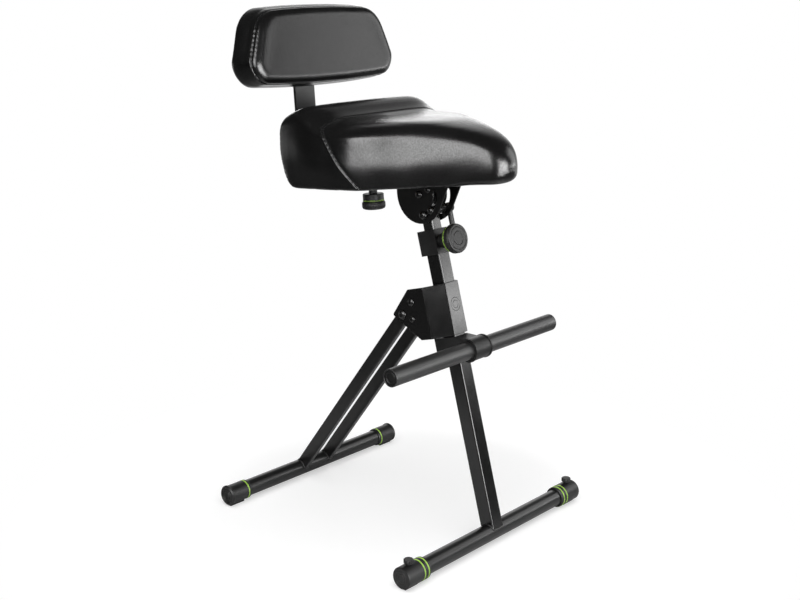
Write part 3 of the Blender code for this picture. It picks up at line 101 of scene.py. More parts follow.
def powder_coat(name, dullness, gleam):
    """Satin black powder coat: orange peel, cloudy gloss and a few dull rubs.
    dullness is its least roughness, and gleam its specular level."""
    mat, add, links, surface = finish_tree(name)
    place = add("ShaderNodeTexCoord").outputs["Object"]
    peel = add("ShaderNodeTexNoise", Scale=950, Detail=2)
    cloud = add("ShaderNodeTexNoise", Scale=22, Detail=5, Roughness=0.6)
    rubs = add("ShaderNodeTexNoise", Scale=75, Detail=6, Roughness=0.7, Distortion=1.5)
    for texture in (peel, cloud, rubs):
        links.new(place, texture.inputs["Vector"])
    links.new(ramp(add, links, rubs.outputs["Fac"], grey(0.0045), grey(0.011), (0.55, 0.85)),
              surface.inputs["Base Color"])
    links.new(ramp(add, links, cloud.outputs["Fac"], grey(dullness), grey(dullness + 0.07)),
              surface.inputs["Roughness"])
    surface.inputs["Specular IOR Level"].default_value = gleam
    bumps(add, links, surface, peel.outputs["Fac"], 0.12, 0.0002)
    return mat


def moulded_plastic():
    """Black moulded plastic with a fine spark texture."""
    mat, add, links, surface = finish_tree("moulded_plastic")
    place = add("ShaderNodeTexCoord").outputs["Object"]
    spark = add("ShaderNodeTexNoise", Scale=2200, Detail=2)
    cloud = add("ShaderNodeTexNoise", Scale=30, Detail=4)
    for texture in (spark, cloud):
        links.new(place, texture.inputs["Vector"])
    links.new(ramp(add, links, cloud.outputs["Fac"], grey(0.004), grey(0.007)), surface.inputs["Base Color"])
    surface.inputs["Specular IOR Level"].default_value = 0.4
    links.new(ramp(add, links, cloud.outputs["Fac"], grey(0.40), grey(0.50)), surface.inputs["Roughness"])
    bumps(add, links, surface, spark.outputs["Fac"], 0.18, 0.00015)
    return mat


def oxide_bolt():
    """Black oxide fasteners: darker steel with a shine, duller in spots."""
    mat, add, links, surface = finish_tree("oxide_bolt")
    place = add("ShaderNodeTexCoord").outputs["Object"]
    spots = add("ShaderNodeTexNoise", Scale=260, Detail=4)
    links.new(place, spots.inputs["Vector"])
    links.new(ramp(add, links, spots.outputs["Fac"], grey(0.020), grey(0.050)), surface.inputs["Base Color"])
    links.new(ramp(add, links, spots.outputs["Fac"], grey(0.22), grey(0.38)), surface.inputs["Roughness"])
    surface.inputs["Metallic"].default_value = 0.7
    return mat


def lime_rubber():
    """Lime rubber rings, a little cloudy."""
    mat, add, links, surface = finish_tree("lime_rubber")
    place = add("ShaderNodeTexCoord").outputs["Object"]
    cloud = add("ShaderNodeTexNoise", Scale=120, Detail=3)
    links.new(place, cloud.inputs["Vector"])
    links.new(ramp(add, links, cloud.outputs["Fac"], (0.36, 0.66, 0.06, 1), (0.44, 0.76, 0.09, 1)),
              surface.inputs["Base Color"])
    surface.inputs["Roughness"].default_value = 0.5
    bumps(add, links, surface, cloud.outputs["Fac"], 0.1, 0.0002)
    return mat


def leatherette():
    """Black leatherette: pebbled grain, fine pores and a cloudy gloss."""
    mat, add, links, surface = finish_tree("leatherette")
    place = add("ShaderNodeTexCoord").outputs["Object"]
    pebbles = add("ShaderNodeTexVoronoi", Scale=620)
    pebbles.feature = "SMOOTH_F1"
    pores = add("ShaderNodeTexNoise", Scale=2600, Detail=2)
    cloud = add("ShaderNodeTexNoise", Scale=14, Detail=4, Roughness=0.55)
    for texture in (pebbles, pores, cloud):
        links.new(place, texture.inputs["Vector"])
    links.new(ramp(add, links, cloud.outputs["Fac"], grey(0.0035), grey(0.0055)),
              surface.inputs["Base Color"])
    links.new(ramp(add, links, cloud.outputs["Fac"], grey(0.22), grey(0.27)), surface.inputs["Roughness"])
    specks = add("ShaderNodeTexNoise", Scale=420, Detail=3, Roughness=0.6)
    links.new(place, specks.inputs["Vector"])
    links.new(ramp(add, links, specks.outputs["Fac"], grey(0.34), grey(0.58)),
              surface.inputs["Specular IOR Level"])
    grain = bumps(add, links, surface, pebbles.outputs["Distance"], 0.20, 0.0005)
    fine = add("ShaderNodeBump", Strength=0.12, Distance=0.0002)
    links.new(pores.outputs["Fac"], fine.inputs["Height"])
    links.new(fine.outputs["Normal"], grain.inputs["Normal"])
    return mat


def thread_finish():
    """Dull twisted sewing thread."""
    mat, add, links, surface = finish_tree("thread")
    place = add("ShaderNodeTexCoord").outputs["Object"]
    twist = add("ShaderNodeTexNoise", Scale=1500, Detail=2)
    links.new(place, twist.inputs["Vector"])
    links.new(ramp(add, links, twist.outputs["Fac"], grey(0.025), grey(0.06)), surface.inputs["Base Color"])
    surface.inputs["Specular IOR Level"].default_value = 0.2
    surface.inputs["Roughness"].default_value = 0.7
    return mat


def plywood_finish():
    """Bare plywood with its veneer's grain across the stool."""
    mat, add, links, surface = finish_tree("plywood_faces")
    place = add("ShaderNodeTexCoord").outputs["Object"]
    along = add("ShaderNodeMapping", Scale=(9, 150, 150))
    grain = add("ShaderNodeTexNoise", Scale=1, Detail=6, Roughness=0.65, Distortion=0.3)
    links.new(place, along.inputs["Vector"])
    links.new(along.outputs["Vector"], grain.inputs["Vector"])
    links.new(ramp(add, links, grain.outputs["Fac"], (0.25, 0.16, 0.085, 1), (0.37, 0.255, 0.145, 1)),
              surface.inputs["Base Color"])
    surface.inputs["Roughness"].default_value = 0.7
    return mat


FINISH = {
    "black_steel": powder_coat("powder_coat", 0.28, 0.45),
    "black_plastic": moulded_plastic(),
    "black_bolt": oxide_bolt(),
    "lime_rubber": lime_rubber(),
    "black_leatherette": leatherette(),
    "plywood": plywood_finish(),
}
THREAD = thread_finish()
OWN_FINISH = {
    "footrest_bar": powder_coat("powder_coat_worn", 0.40, 0.75),  # dulled by shoes
    "outer_post": powder_coat("powder_coat_even", 0.17, 0.50),
    "inner_post": powder_coat("powder_coat_sleek", 0.17, 0.95),
    "hinge_bracket": powder_coat("powder_coat_sheet", 0.13, 0.42),
}


# CAD nodes that stay: one smooth skin with small rounded edges

def skin(name, smooth):
    """Joins the triangles of a CAD mesh and shades it smooth or flat."""
    tree = bpy.data.node_groups.new(name, "GeometryNodeTree")
    tree.interface.new_socket("Geometry", in_out="INPUT", socket_type="NodeSocketGeometry")
    tree.interface.new_socket("Geometry", in_out="OUTPUT", socket_type="NodeSocketGeometry")
    nodes, links = tree.nodes, tree.links
    start, end = nodes.new("NodeGroupInput"), nodes.new("NodeGroupOutput")
    weld = nodes.new("GeometryNodeMergeByDistance")
    weld.inputs["Distance"].default_value = 0.01 * MM
    bare = nodes.new("GeometryNodeRemoveAttribute")
    bare.inputs["Name"].default_value = "custom_normal"
    faces = nodes.new("GeometryNodeSetShadeSmooth")
    faces.domain = "FACE"
    faces.inputs["Shade Smooth"].default_value = smooth
    edges = nodes.new("GeometryNodeSetShadeSmooth")
    edges.domain = "EDGE"
    edges.inputs["Shade Smooth"].default_value = smooth
    links.new(start.outputs[0], weld.inputs["Geometry"])
    links.new(weld.outputs["Geometry"], bare.inputs["Geometry"])
    links.new(bare.outputs["Geometry"], faces.inputs["Geometry"])
    links.new(faces.outputs["Geometry"], edges.inputs["Geometry"])
    links.new(edges.outputs["Geometry"], end.inputs[0])
    return tree


SMOOTH_SKIN, FLAT_SKIN = skin("smooth_skin", True), skin("flat_skin", False)
BENT_SHEET = ("hinge_bracket",)  # flat between shallow bends
EDGE_ANGLE = math.radians(38)  # sharper edges than this are rounded
FLAT_ANGLE = math.radians(0.6)  # faces that turn less than this are joined
EDGE_ROUND = {"black_steel": 0.9 * MM, "black_plastic": 0.7 * MM, "black_bolt": 0.3 * MM,
              "lime_rubber": 0.35 * MM, "plywood": 0.4 * MM}


def slot_of(node):
    """The record's finish of a CAD node, as its imported material is named."""
    return node.data.materials[0].name.split(".")[0]


def dress(node):
    """Gives a CAD node its finish and rounds its edges; the cushions are left to their covers."""
    name = slot_of(node)
    if name not in EDGE_ROUND:
        return
    for place in range(len(node.data.materials)):
        node.data.materials[place] = OWN_FINISH.get(node.name, FINISH[name])
    sheet = node.name in BENT_SHEET
    node.modifiers.new("skin", "NODES").node_group = FLAT_SKIN if sheet else SMOOTH_SKIN
    flat = node.modifiers.new("flat", "DECIMATE")
    flat.decimate_type = "DISSOLVE"
    flat.angle_limit = FLAT_ANGLE
    edge = node.modifiers.new("edges", "BEVEL")
    edge.width = EDGE_ROUND[name]
    edge.segments = 2
    edge.limit_method = "ANGLE"
    edge.angle_limit = EDGE_ANGLE
    edge.use_clamp_overlap = not sheet
    if not sheet:
        node.modifiers.new("even", "WEIGHTED_NORMAL").weight = 60


for cad_node in NODES.values():
    dress(cad_node)


# Meshes made here

def put(name, verts, faces, finish, body, slot, smooth=True):
    """A new piece in the row frame that moves with a CAD body."""
    mesh = bpy.data.meshes.new(name)
    mesh.from_pydata([tuple(v) for v in verts], [], faces)
    mesh.update()
    return put_mesh(name, mesh, finish, body, smooth)


def put_mesh(name, mesh, finish, body, smooth=True):
    mesh.materials.clear()
    mesh.materials.append(finish)
    for polygon in mesh.polygons:
        polygon.use_smooth = smooth
    obj = bpy.data.objects.new(name, mesh)
    bpy.context.scene.collection.objects.link(obj)
    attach(obj, body)
    return obj


def lathe(profile, place, axis, side, steps=72, ribs=0, rib=0.0, ribbed=()):
    """Verts and faces of a turned shape. The profile is (radius, along); the ribbed rows swell in ribs."""
    other = axis.cross(side)
    verts, faces = [], []
    for row, (radius, along) in enumerate(profile):
        for step in range(steps):
            turn = 2 * math.pi * step / steps
            swell = rib * (0.5 + 0.5 * math.cos(ribs * turn)) if row in ribbed else 0
            out = (side * math.cos(turn) + other * math.sin(turn)) * (radius + swell)
            verts.append(place + axis * along + out)
    for row in range(len(profile) - 1):
        for step in range(steps):
            after = (step + 1) % steps
            faces.append((row * steps + step, row * steps + after, (row + 1) * steps + after,
                          (row + 1) * steps + step))
    return verts, faces


def joined(parts):
    """Several lists of verts and faces as one."""
    verts, faces = [], []
    for part_verts, part_faces in parts:
        start = len(verts)
        verts.extend(part_verts)
        faces.extend(tuple(i + start for i in face) for face in part_faces)
    return verts, faces


def ring_relief(place, axis, side, radius, thick, height, steps=64):
    """A low round ridge on a flat face."""
    profile = [(radius - thick, 0), (radius - 0.6 * thick, 0.8 * height), (radius, height),
               (radius + 0.6 * thick, 0.8 * height), (radius + thick, 0)]
    return lathe(profile, place, axis, side, steps)


# Upholstery

STITCH_PITCH = 4.2 * MM
STITCH_BESIDE = 3.2 * MM  # from the seam to a row of stitches
SEAT_SEAM_TOP = (0.163, 0.0364, 0.7535)  # where the seam turns down the seat's side
SEAT_SEAM_LOW = (-0.0540, 0.6480)  # y and z of its lower end


def taubin(points, pairs, times):
    """Smooths points along mesh edges without shrinking the whole."""
    count = np.bincount(pairs.ravel(), minlength=len(points)).astype(float)[:, None]
    for _ in range(times):
        for share in (0.5, -0.52):
            total = np.zeros_like(points)
            np.add.at(total, pairs[:, 0], points[pairs[:, 1]])
            np.add.at(total, pairs[:, 1], points[pairs[:, 0]])
            points = points + share * (total / count - points)
    return points


def coordinates(mesh):
    flat = np.empty(len(mesh.vertices) * 3)
    mesh.vertices.foreach_get("co", flat)
    return flat.reshape(-1, 3)


def set_coordinates(mesh, points):
    mesh.vertices.foreach_set("co", np.ascontiguousarray(points, dtype=np.float32).ravel())
    mesh.update()


def normals(mesh):
    flat = np.empty(len(mesh.vertices) * 3)
    mesh.vertex_normals.foreach_get("vector", flat)
    return flat.reshape(-1, 3)


def edge_pairs(mesh):
    flat = np.empty(len(mesh.edges) * 2, dtype=np.int64)
    mesh.edges.foreach_get("vertices", flat)
    return flat.reshape(-1, 2)


def baked(obj):
    """The mesh of obj with its modifiers applied."""
    graph = bpy.context.evaluated_depsgraph_get()
    graph.update()
    return bpy.data.meshes.new_from_object(obj.evaluated_get(graph))


def smooth_form(node, board):
    """A fine smooth copy of a CAD cushion, which keeps the edges of the pocket for its board."""
    work = bmesh.new()
    work.from_mesh(node.data)
    bmesh.ops.remove_doubles(work, verts=work.verts, dist=0.01 * MM)
    bmesh.ops.join_triangles(work, faces=work.faces, angle_face_threshold=math.radians(25),
                             angle_shape_threshold=math.radians(60))
    low, high = (Vector(corner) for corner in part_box(board))
    crease = work.edges.layers.float.new("crease_edge")
    for edge in work.edges:
        edge[crease] = float(all(all(low[k] - 2 * MM < v.co[k] < high[k] + 2 * MM for k in range(3))
                                 for v in edge.verts))
    mesh = bpy.data.meshes.new("form")
    work.to_mesh(mesh)
    work.free()
    obj = bpy.data.objects.new("form", mesh)
    bpy.context.scene.collection.objects.link(obj)
    obj.modifiers.new("fine", "SUBSURF").levels = 3
    wanted = coordinates(mesh)
    short = wanted - coordinates(baked(obj))[:len(wanted)]
    length = np.linalg.norm(short, axis=1, keepdims=True)
    set_coordinates(mesh, wanted + short * np.minimum(1, 2.5 * MM / np.maximum(length, 1e-9)))
    form = baked(obj)
    bpy.data.objects.remove(obj)
    return form


def lowered(values, pairs, times):
    """Evens out a value over a mesh."""
    count = np.bincount(pairs.ravel(), minlength=len(values)).astype(float)
    for _ in range(times):
        total = np.zeros_like(values)
        np.add.at(total, pairs[:, 0], values[pairs[:, 1]])
        np.add.at(total, pairs[:, 1], values[pairs[:, 0]])
        values = 0.5 * values + 0.5 * total / count
    return values


def swelled(form, board, away, voxel, shrink, cap, fuller=None):
    """The mesh of a cushion: its form at an even mesh size, a little smaller, blown up as cloth round
    its board. fuller gives the share of extra smoothing at each point and how far it stands out first."""
    obj = bpy.data.objects.new("swelling", form)
    bpy.context.scene.collection.objects.link(obj)
    even = obj.modifiers.new("even", "REMESH")
    even.mode = "VOXEL"
    even.voxel_size = voxel
    obj.data = baked(obj)
    obj.modifiers.clear()
    tree = tree_of(form)
    pairs = edge_pairs(obj.data)
    points = taubin(coordinates(obj.data), pairs, 4)
    points = np.array([tree.find_nearest(Vector(p))[0] for p in points])
    set_coordinates(obj.data, points)
    if fuller:
        share, proud = fuller(points, normals(obj.data))
        for _ in range(30):
            softer = np.stack([lowered(points[:, k], pairs, 1) for k in range(3)], axis=1)
            points = points + (softer - points) * share[:, None]
        points += normals(obj.data) * lowered(proud, pairs, 10)[:, None]
        set_coordinates(obj.data, points)
    facing = normals(obj.data)
    wood = tree_of(NODES[board].data)
    beside = np.array([wood.find_nearest(Vector(p))[3] for p in points]) < 7 * MM
    held = beside | (facing @ np.array(away) > 0.3)
    free = lowered(1.0 - held, pairs, 25) * ~held
    small = points - facing * (shrink * free)[:, None]
    set_coordinates(obj.data, small)
    group = obj.vertex_groups.new(name="held")
    group.add([int(i) for i in np.flatnonzero(held)], 1.0, "REPLACE")
    cloth = obj.modifiers.new("swell", "CLOTH")
    cloth.settings.quality = 5
    cloth.settings.mass = 0.3
    cloth.settings.tension_stiffness = 25
    cloth.settings.compression_stiffness = 25
    cloth.settings.shear_stiffness = 12
    cloth.settings.bending_stiffness = 4
    cloth.settings.use_pressure = True
    cloth.settings.uniform_pressure_force = 4
    cloth.settings.vertex_group_mass = "held"
    cloth.settings.effector_weights.gravity = 0
    scene = bpy.context.scene
    for count in range(1, 21):
        scene.frame_set(count)
    moved = np.sum((coordinates(baked(obj)) - small) * facing, axis=1)
    obj.modifiers.clear()
    scene.frame_set(1)
    moved = lowered(np.clip(moved, -cap, cap) * free, pairs, 60)
    set_coordinates(obj.data, small + facing * moved[:, None])
    obj.modifiers.new("rounder", "SUBSURF").levels = 1
    done = baked(obj)
    bpy.data.objects.remove(obj)
    return done


def tree_of(mesh):
    """A search tree over the faces of a mesh."""
    points = [v.co.copy() for v in mesh.vertices]
    return BVHTree.FromPolygons(points, [p.vertices[:] for p in mesh.polygons])


def resampled(points, step, closed=False):
    """Points along a line at an even step."""
    line = [np.array(p) for p in points] + ([np.array(points[0])] if closed else [])
    line = np.array(line)
    along = np.concatenate([[0], np.cumsum(np.linalg.norm(np.diff(line, axis=0), axis=1))])
    count = max(2, int(round(along[-1] / step)))
    wanted = np.linspace(0, along[-1], count, endpoint=not closed)
    return np.stack([np.interp(wanted, along, line[:, k]) for k in range(3)], axis=1)


def seam(mesh, path, depth, width, puff, closed=False):
    """Pulls the cover in along a path on the mesh, and lets it swell a little beside it."""
    line = resampled(path, 0.5 * MM, closed)
    near = KDTree(len(line))
    for i, point in enumerate(line):
        near.insert(point, i)
    near.balance()
    work = bmesh.new()
    work.from_mesh(mesh)
    for reach in (9 * MM, 5 * MM):
        close = {v for v in work.verts if near.find(v.co)[2] < reach}
        edges = [e for e in work.edges if e.verts[0] in close and e.verts[1] in close]
        bmesh.ops.subdivide_edges(work, edges=edges, cuts=1, use_grid_fill=True)
    bmesh.ops.triangulate(work, faces=[f for f in work.faces if len(f.verts) > 4])
    work.normal_update()
    for v in work.verts:
        _, index, distance = near.find(v.co)
        if distance > 30 * MM:
            continue
        along = index * 0.5 * MM
        pull = -depth * math.exp(-(distance / width) ** 2)
        swell = puff * (distance / (7 * MM)) * math.exp(1 - distance / (7 * MM))
        pucker = 0.18 * MM * math.sin(2 * math.pi * along / (8.5 * MM)) * math.exp(-distance / (5 * MM))
        v.co = v.co + v.normal * (pull + swell + pucker)
    work.to_mesh(mesh)
    work.free()
    mesh.update()


def stitches(mesh, path, beside, pitch, closed=False):
    """Verts and faces of a row of stitches beside a seam."""
    tree = tree_of(mesh)
    line = resampled(path, pitch, closed)
    parts = []
    for i in range(len(line)):
        here = Vector(line[i])
        ahead = Vector(line[(i + 1) % len(line)]) if closed or i + 1 < len(line) else here
        behind = Vector(line[i - 1]) if closed or i else here
        tangent = (ahead - behind).normalized()
        _, facing, _, _ = tree.find_nearest(here)
        place, facing, _, _ = tree.find_nearest(here + tangent.cross(facing).normalized() * beside)
        parts.append(bead(place, tangent, facing))
    return joined(parts)


def bead(place, tangent, facing, length=2.8 * MM, thick=0.36 * MM):
    """One stitch: a short pinched rod that dips into the cover at both ends."""
    across = facing.cross(tangent).normalized()
    rows = [(-0.5, 0.35, -0.6), (-0.32, 0.95, 0.25), (0, 1.0, 0.5), (0.32, 0.95, 0.25), (0.5, 0.35, -0.6)]
    verts, faces = [], []
    for along, size, lift in rows:
        for k in range(6):
            turn = 2 * math.pi * k / 6
            out = across * math.cos(turn) + facing * math.sin(turn)
            verts.append(place + tangent * along * length + facing * lift * thick + out * size * thick)
    for row in range(len(rows) - 1):
        for k in range(6):
            faces.append((row * 6 + k, row * 6 + (k + 1) % 6, row * 6 + 6 + (k + 1) % 6, row * 6 + 6 + k))
    return verts, faces


def cast(tree, start, towards):
    """Where a ray meets a cushion, or None."""
    return tree.ray_cast(Vector(start), Vector(towards).normalized())[0]


def fuller_seat(points, facing):
    """The nose is rounder than the solid and the rear corners are fuller."""
    local = points - np.array(SEAT_PLACE)
    rear = local @ np.array(SEAT_REAR)
    nose = np.clip((-0.105 - rear) / 0.06, 0, 1)
    behind = np.clip((rear - 0.06) / 0.06, 0, 1)
    corner = 0.675 * facing[:, 0] * np.sign(local[:, 0]) + 0.737 * facing @ np.array(SEAT_REAR)
    upward = facing @ np.array(SEAT_UP)
    low = np.clip((0.86 * corner - 0.5 * upward - 0.7) / 0.25, 0, 1)
    high = np.clip((0.7 * corner + 0.7 * upward - 0.7) / 0.25, 0, 1)
    return nose, 2.2 * MM * nose + behind * (3.5 * MM * low + 4.5 * MM * high)


def corner_path(mesh, sign):
    """The line down a rear corner of the seat where its side panel meets its rear panel."""
    local = coordinates(mesh) - np.array(SEAT_PLACE)
    up = local @ np.array(SEAT_UP)
    turn = math.radians(38)
    outward = sign * math.cos(turn) * local[:, 0] + math.sin(turn) * (local @ np.array(SEAT_REAR))
    tree = tree_of(mesh)
    low, high = up.min() + 8 * MM, up.max() - 34 * MM
    line = []
    for level in np.linspace(low, high, 24):
        slab = np.flatnonzero(np.abs(up - level) < 4 * MM)
        line.append(coordinates(mesh)[slab[np.argmax(outward[slab])]])
    line = np.array(line)
    for _ in range(12):
        line[1:-1] = 0.25 * line[:-2] + 0.5 * line[1:-1] + 0.25 * line[2:]
    return [tree.find_nearest(Vector(p))[0] for p in line]


def seat_cover():
    """The seat: seams across its top, down its sides and down its rear corners."""
    form = smooth_form(NODES["seat_cushion"], "seat_board")
    mesh = swelled(form, "seat_board", -SEAT_UP, 5 * MM, 1.5 * MM, 4 * MM, fuller_seat)
    tree = tree_of(mesh)
    corner_x, corner_y, corner_z = SEAT_SEAM_TOP
    low_y, low_z = SEAT_SEAM_LOW
    side = {}
    for sign in (-1, 1):
        line = []
        for step in range(25):
            share = step / 24
            y = corner_y + (low_y - corner_y) * share
            z = corner_z - 0.004 + (low_z - corner_z + 0.004) * share
            line.append(cast(tree, (sign * 0.4, y, z), (-sign, 0, 0)))
        side[sign] = [p for p in line if p]
    top = []
    for step in range(61):
        x = corner_x * (-0.97 + 1.94 * step / 60)
        hit = cast(tree, (x, corner_y, 1.0), (0, 0, -1))
        if hit:
            top.append(hit)
    seam_path = side[-1][::-1] + top + side[1]
    seam(mesh, seam_path, 1.5 * MM, 1.6 * MM, 0.6 * MM)
    corners = [corner_path(mesh, sign) for sign in (-1, 1)]
    for path in corners:
        seam(mesh, path, 1.0 * MM, 1.4 * MM, 0.3 * MM)
    rows = [stitches(mesh, seam_path, beside, STITCH_PITCH) for beside in (-STITCH_BESIDE, STITCH_BESIDE)]
    rows += [stitches(mesh, path, sign * 3 * MM, STITCH_PITCH) for sign, path in zip((1, -1), corners)]
    cover = put_mesh("seat_cover", mesh, FINISH["black_leatherette"], "seat")
    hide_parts("seat_cushion")
    put("seat_stitching", *joined(rows), THREAD, "seat", "black_leatherette")


def padded_roll(mesh, inset, drop, crest, width, sink):
    """Gives the front of the backrest a flat field within a padded roll, and lets its walls lean less than
    the solid's. The roll starts at a seam that lies inset from the outline and drop behind the front; its
    crest is crest wide of it, and from there to width the field sinks by sink."""
    points = coordinates(mesh)
    local = points - np.array(SEAT_PLACE)
    rear = local @ np.array(SEAT_REAR)
    behind = rear - rear.min()
    plan = np.stack([local[:, 0], local @ np.array(SEAT_UP)], axis=1)
    turns = np.linspace(0, 2 * math.pi, 180, endpoint=False)
    ways = np.stack([np.cos(turns), np.sin(turns)], axis=1)
    outline = (plan @ ways.T).max(axis=0)
    gaps = outline - plan @ ways.T
    outward = ways[gaps.argmin(axis=1)]
    lean = np.interp(behind, (0, 10 * MM, 27 * MM, 50 * MM), (13 * MM, 9 * MM, 3 * MM, 0))
    lean *= np.clip(1 - gaps.min(axis=1) / (70 * MM), 0, 1) * (1 - 0.35 * np.abs(outward[:, 0]))
    points += np.outer(lean * outward[:, 0], np.array(ACROSS))
    points += np.outer(lean * outward[:, 1], np.array(SEAT_UP))
    plan += outward * lean[:, None]
    inside = (outline - plan @ ways.T).min(axis=1) - inset
    outer = 1 - np.clip(inside / crest, 0, 1)
    inner = np.clip((inside - crest) / (width - crest), 0, 1)
    wanted = drop * (1 - np.sqrt(1 - outer ** 2)) + sink * (0.5 - 0.5 * np.cos(math.pi * inner))
    share = np.clip(inside / (4 * MM) + 0.5, 0, 1) * (behind < 2 * drop)
    points += np.outer((wanted - behind) * share, np.array(SEAT_REAR))
    set_coordinates(mesh, points)


def leaned(points, low, high):
    """Leans the padding of the backrest a little further back towards its top, except beside the board."""
    up = (points - np.array(SEAT_PLACE)) @ np.array(SEAT_UP)
    wood = tree_of(NODES["backrest_board"].data)
    apart = np.array([wood.find_nearest(Vector(p))[3] for p in points])
    share = np.clip((apart - 3 * MM) / (20 * MM), 0, 1)
    back = 2 * MM + 12 * MM * (up - low) / (high - low)
    return points + np.outer(back * share, np.array(SEAT_REAR))


def back_cover():
    """The backrest: one seam round it behind its padded roll."""
    form = smooth_form(NODES["backrest_cushion"], "backrest_board")
    mesh = swelled(form, "backrest_board", SEAT_REAR, 4 * MM, 0.7 * MM, 1.8 * MM)
    padded_roll(mesh, inset=6.5 * MM, drop=12 * MM, crest=19 * MM, width=45 * MM, sink=0.3 * MM)
    points = coordinates(mesh)
    local_rear = (points - np.array(SEAT_PLACE)) @ np.array(SEAT_REAR)
    local_up = (points - np.array(SEAT_PLACE)) @ np.array(SEAT_UP)
    front = local_rear.min()
    level = 0.5 * (local_up.min() + local_up.max())
    tree = tree_of(mesh)
    path = []
    for step in range(180):
        turn = 2 * math.pi * step / 180
        out = ACROSS * math.cos(turn) + SEAT_UP * math.sin(turn)
        plane = SEAT_PLACE + SEAT_REAR * (front + 12.5 * MM) + SEAT_UP * level
        hit = cast(tree, plane + out * 0.5, -out)
        if hit:
            path.append(hit)
    seam(mesh, path, 1.3 * MM, 1.5 * MM, 0.5 * MM, closed=True)
    verts, faces = stitches(mesh, path, 3.0 * MM, STITCH_PITCH, closed=True)
    low, high = local_up.min(), local_up.max()
    verts = leaned(np.array(verts), low, high)
    set_coordinates(mesh, leaned(coordinates(mesh), low, high))
    cover = put_mesh("backrest_cover", mesh, FINISH["black_leatherette"], "backrest")
    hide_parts("backrest_cushion")
    put("backrest_stitching", verts, faces, THREAD, "backrest", "black_leatherette")


seat_cover()
back_cover()


# Trim on the hard parts

FOOT_TUBE = 16 * MM  # radius of both foot tubes
LEG_REAR, LEG_UP = Vector((0, 0.797289, 0.603597)), Vector((0, -0.603597, 0.797289))
KNOB_ABOVE_FOOT, WEB_RINGS_ABOVE_FOOT = 0.540, 0.424  # along the post


def reach(node, place, axis):
    """Lowest and highest place of a CAD node along an axis, and its largest radius round it."""
    points = coordinates(NODES[node].data) - np.array(place)
    along = points @ np.array(axis)
    radius = np.linalg.norm(points - np.outer(along, np.array(axis)), axis=1)
    return along.min(), along.max(), radius.max()


def middle(node):
    """The middle of a CAD node's box."""
    low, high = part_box(node)
    return (Vector(low) + Vector(high)) / 2


def knob_grip(knob, place, axis, side, ribs, body):
    """Ribs round a clamping knob between its coloured ring and its face, and plain rings on the face."""
    _, face, radius = reach(knob, place, axis)
    ring_high = reach(knob + "_ring", place, axis)[1]
    inside = radius - 0.5 * MM
    first, last = ring_high + 2.6 * MM, face - 2.6 * MM
    grip = [(inside, first), (radius, first + 0.8 * MM), (radius, last - 0.8 * MM), (inside, last)]
    parts = [lathe(grip, place, axis, side, ribs * 6, ribs, 0.55 * MM, (1, 2))]
    for share, thick in ((0.78, 1.1 * MM), (0.46, 0.9 * MM)):
        parts.append(ring_relief(place + axis * face, axis, side, radius * share, thick, 0.8 * MM))
    put(knob + "_grip", *joined(parts), FINISH["black_plastic"], body, "black_plastic")


def end_rings(name, ends, radii, body, slot):
    """Plain concentric rings on round end faces; ends are (place, axis)."""
    parts = []
    for place, axis in ends:
        for radius in radii:
            parts.append(ring_relief(place, axis, POST_UP, radius, 0.9 * MM, 0.7 * MM))
    put(name, *joined(parts), FINISH[slot], body, slot)


def cap_ends(cap, ring):
    """The middles of a cap's two end faces with the ways they face."""
    ends = []
    for word, axis in (("right", -ACROSS), ("left", ACROSS)):
        low, high = (Vector(corner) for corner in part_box(f"{cap}_{word}"))
        place = middle(ring.format(word))
        place.x = low.x if axis.x < 0 else high.x
        ends.append((place, axis))
    return ends


def bead_line(path, thick, closed=True, ripple=2.4 * MM):
    """Verts and faces of a weld bead along a path, with ripples."""
    line = [Vector(p) for p in resampled(path, 0.6 * MM, closed)]
    count, sides = len(line), 8
    verts, faces = [], []
    for i, here in enumerate(line):
        tangent = (line[(i + 1) % count] - line[i - 1]).normalized()
        side = tangent.cross(ACROSS if abs(tangent.x) < 0.8 else POST_UP).normalized()
        other = tangent.cross(side)
        size = thick * (1 + 0.12 * math.sin(2 * math.pi * i * 0.6 * MM / ripple))
        for k in range(sides):
            turn = 2 * math.pi * k / sides
            verts.append(here + (side * math.cos(turn) + other * math.sin(turn)) * size)
    for i in range(count if closed else count - 1):
        for k in range(sides):
            a, b = i * sides, (i + 1) % count * sides
            faces.append((a + k, a + (k + 1) % sides, b + (k + 1) % sides, b + k))
    return verts, faces


def weld_round(axis_place, across_middle, half_x, half_y, rear, up, tube):
    """Weld where a box tube stands on a round tube: it follows the round tube's skin."""
    corner = 2.5 * MM
    outline = []
    for start, (way_x, way_y) in enumerate(((1, 1), (-1, 1), (-1, -1), (1, -1))):
        cx, cy = way_x * half_x, way_y * half_y
        for step in range(5):
            turn = math.pi / 2 * (start + step / 4)
            x = cx - math.copysign(corner, cx) + corner * math.cos(turn)
            y = cy - math.copysign(corner, cy) + corner * math.sin(turn)
            outline.append((x, y))
    path = []
    for x, y in resampled([(x, y, 0) for x, y in outline], 1.0 * MM, True)[:, :2]:
        lift = math.sqrt(max(tube ** 2 - y ** 2, 0))
        path.append(axis_place + ACROSS * (across_middle + x) + rear * y + up * lift)
    return bead_line(path, 1.5 * MM)


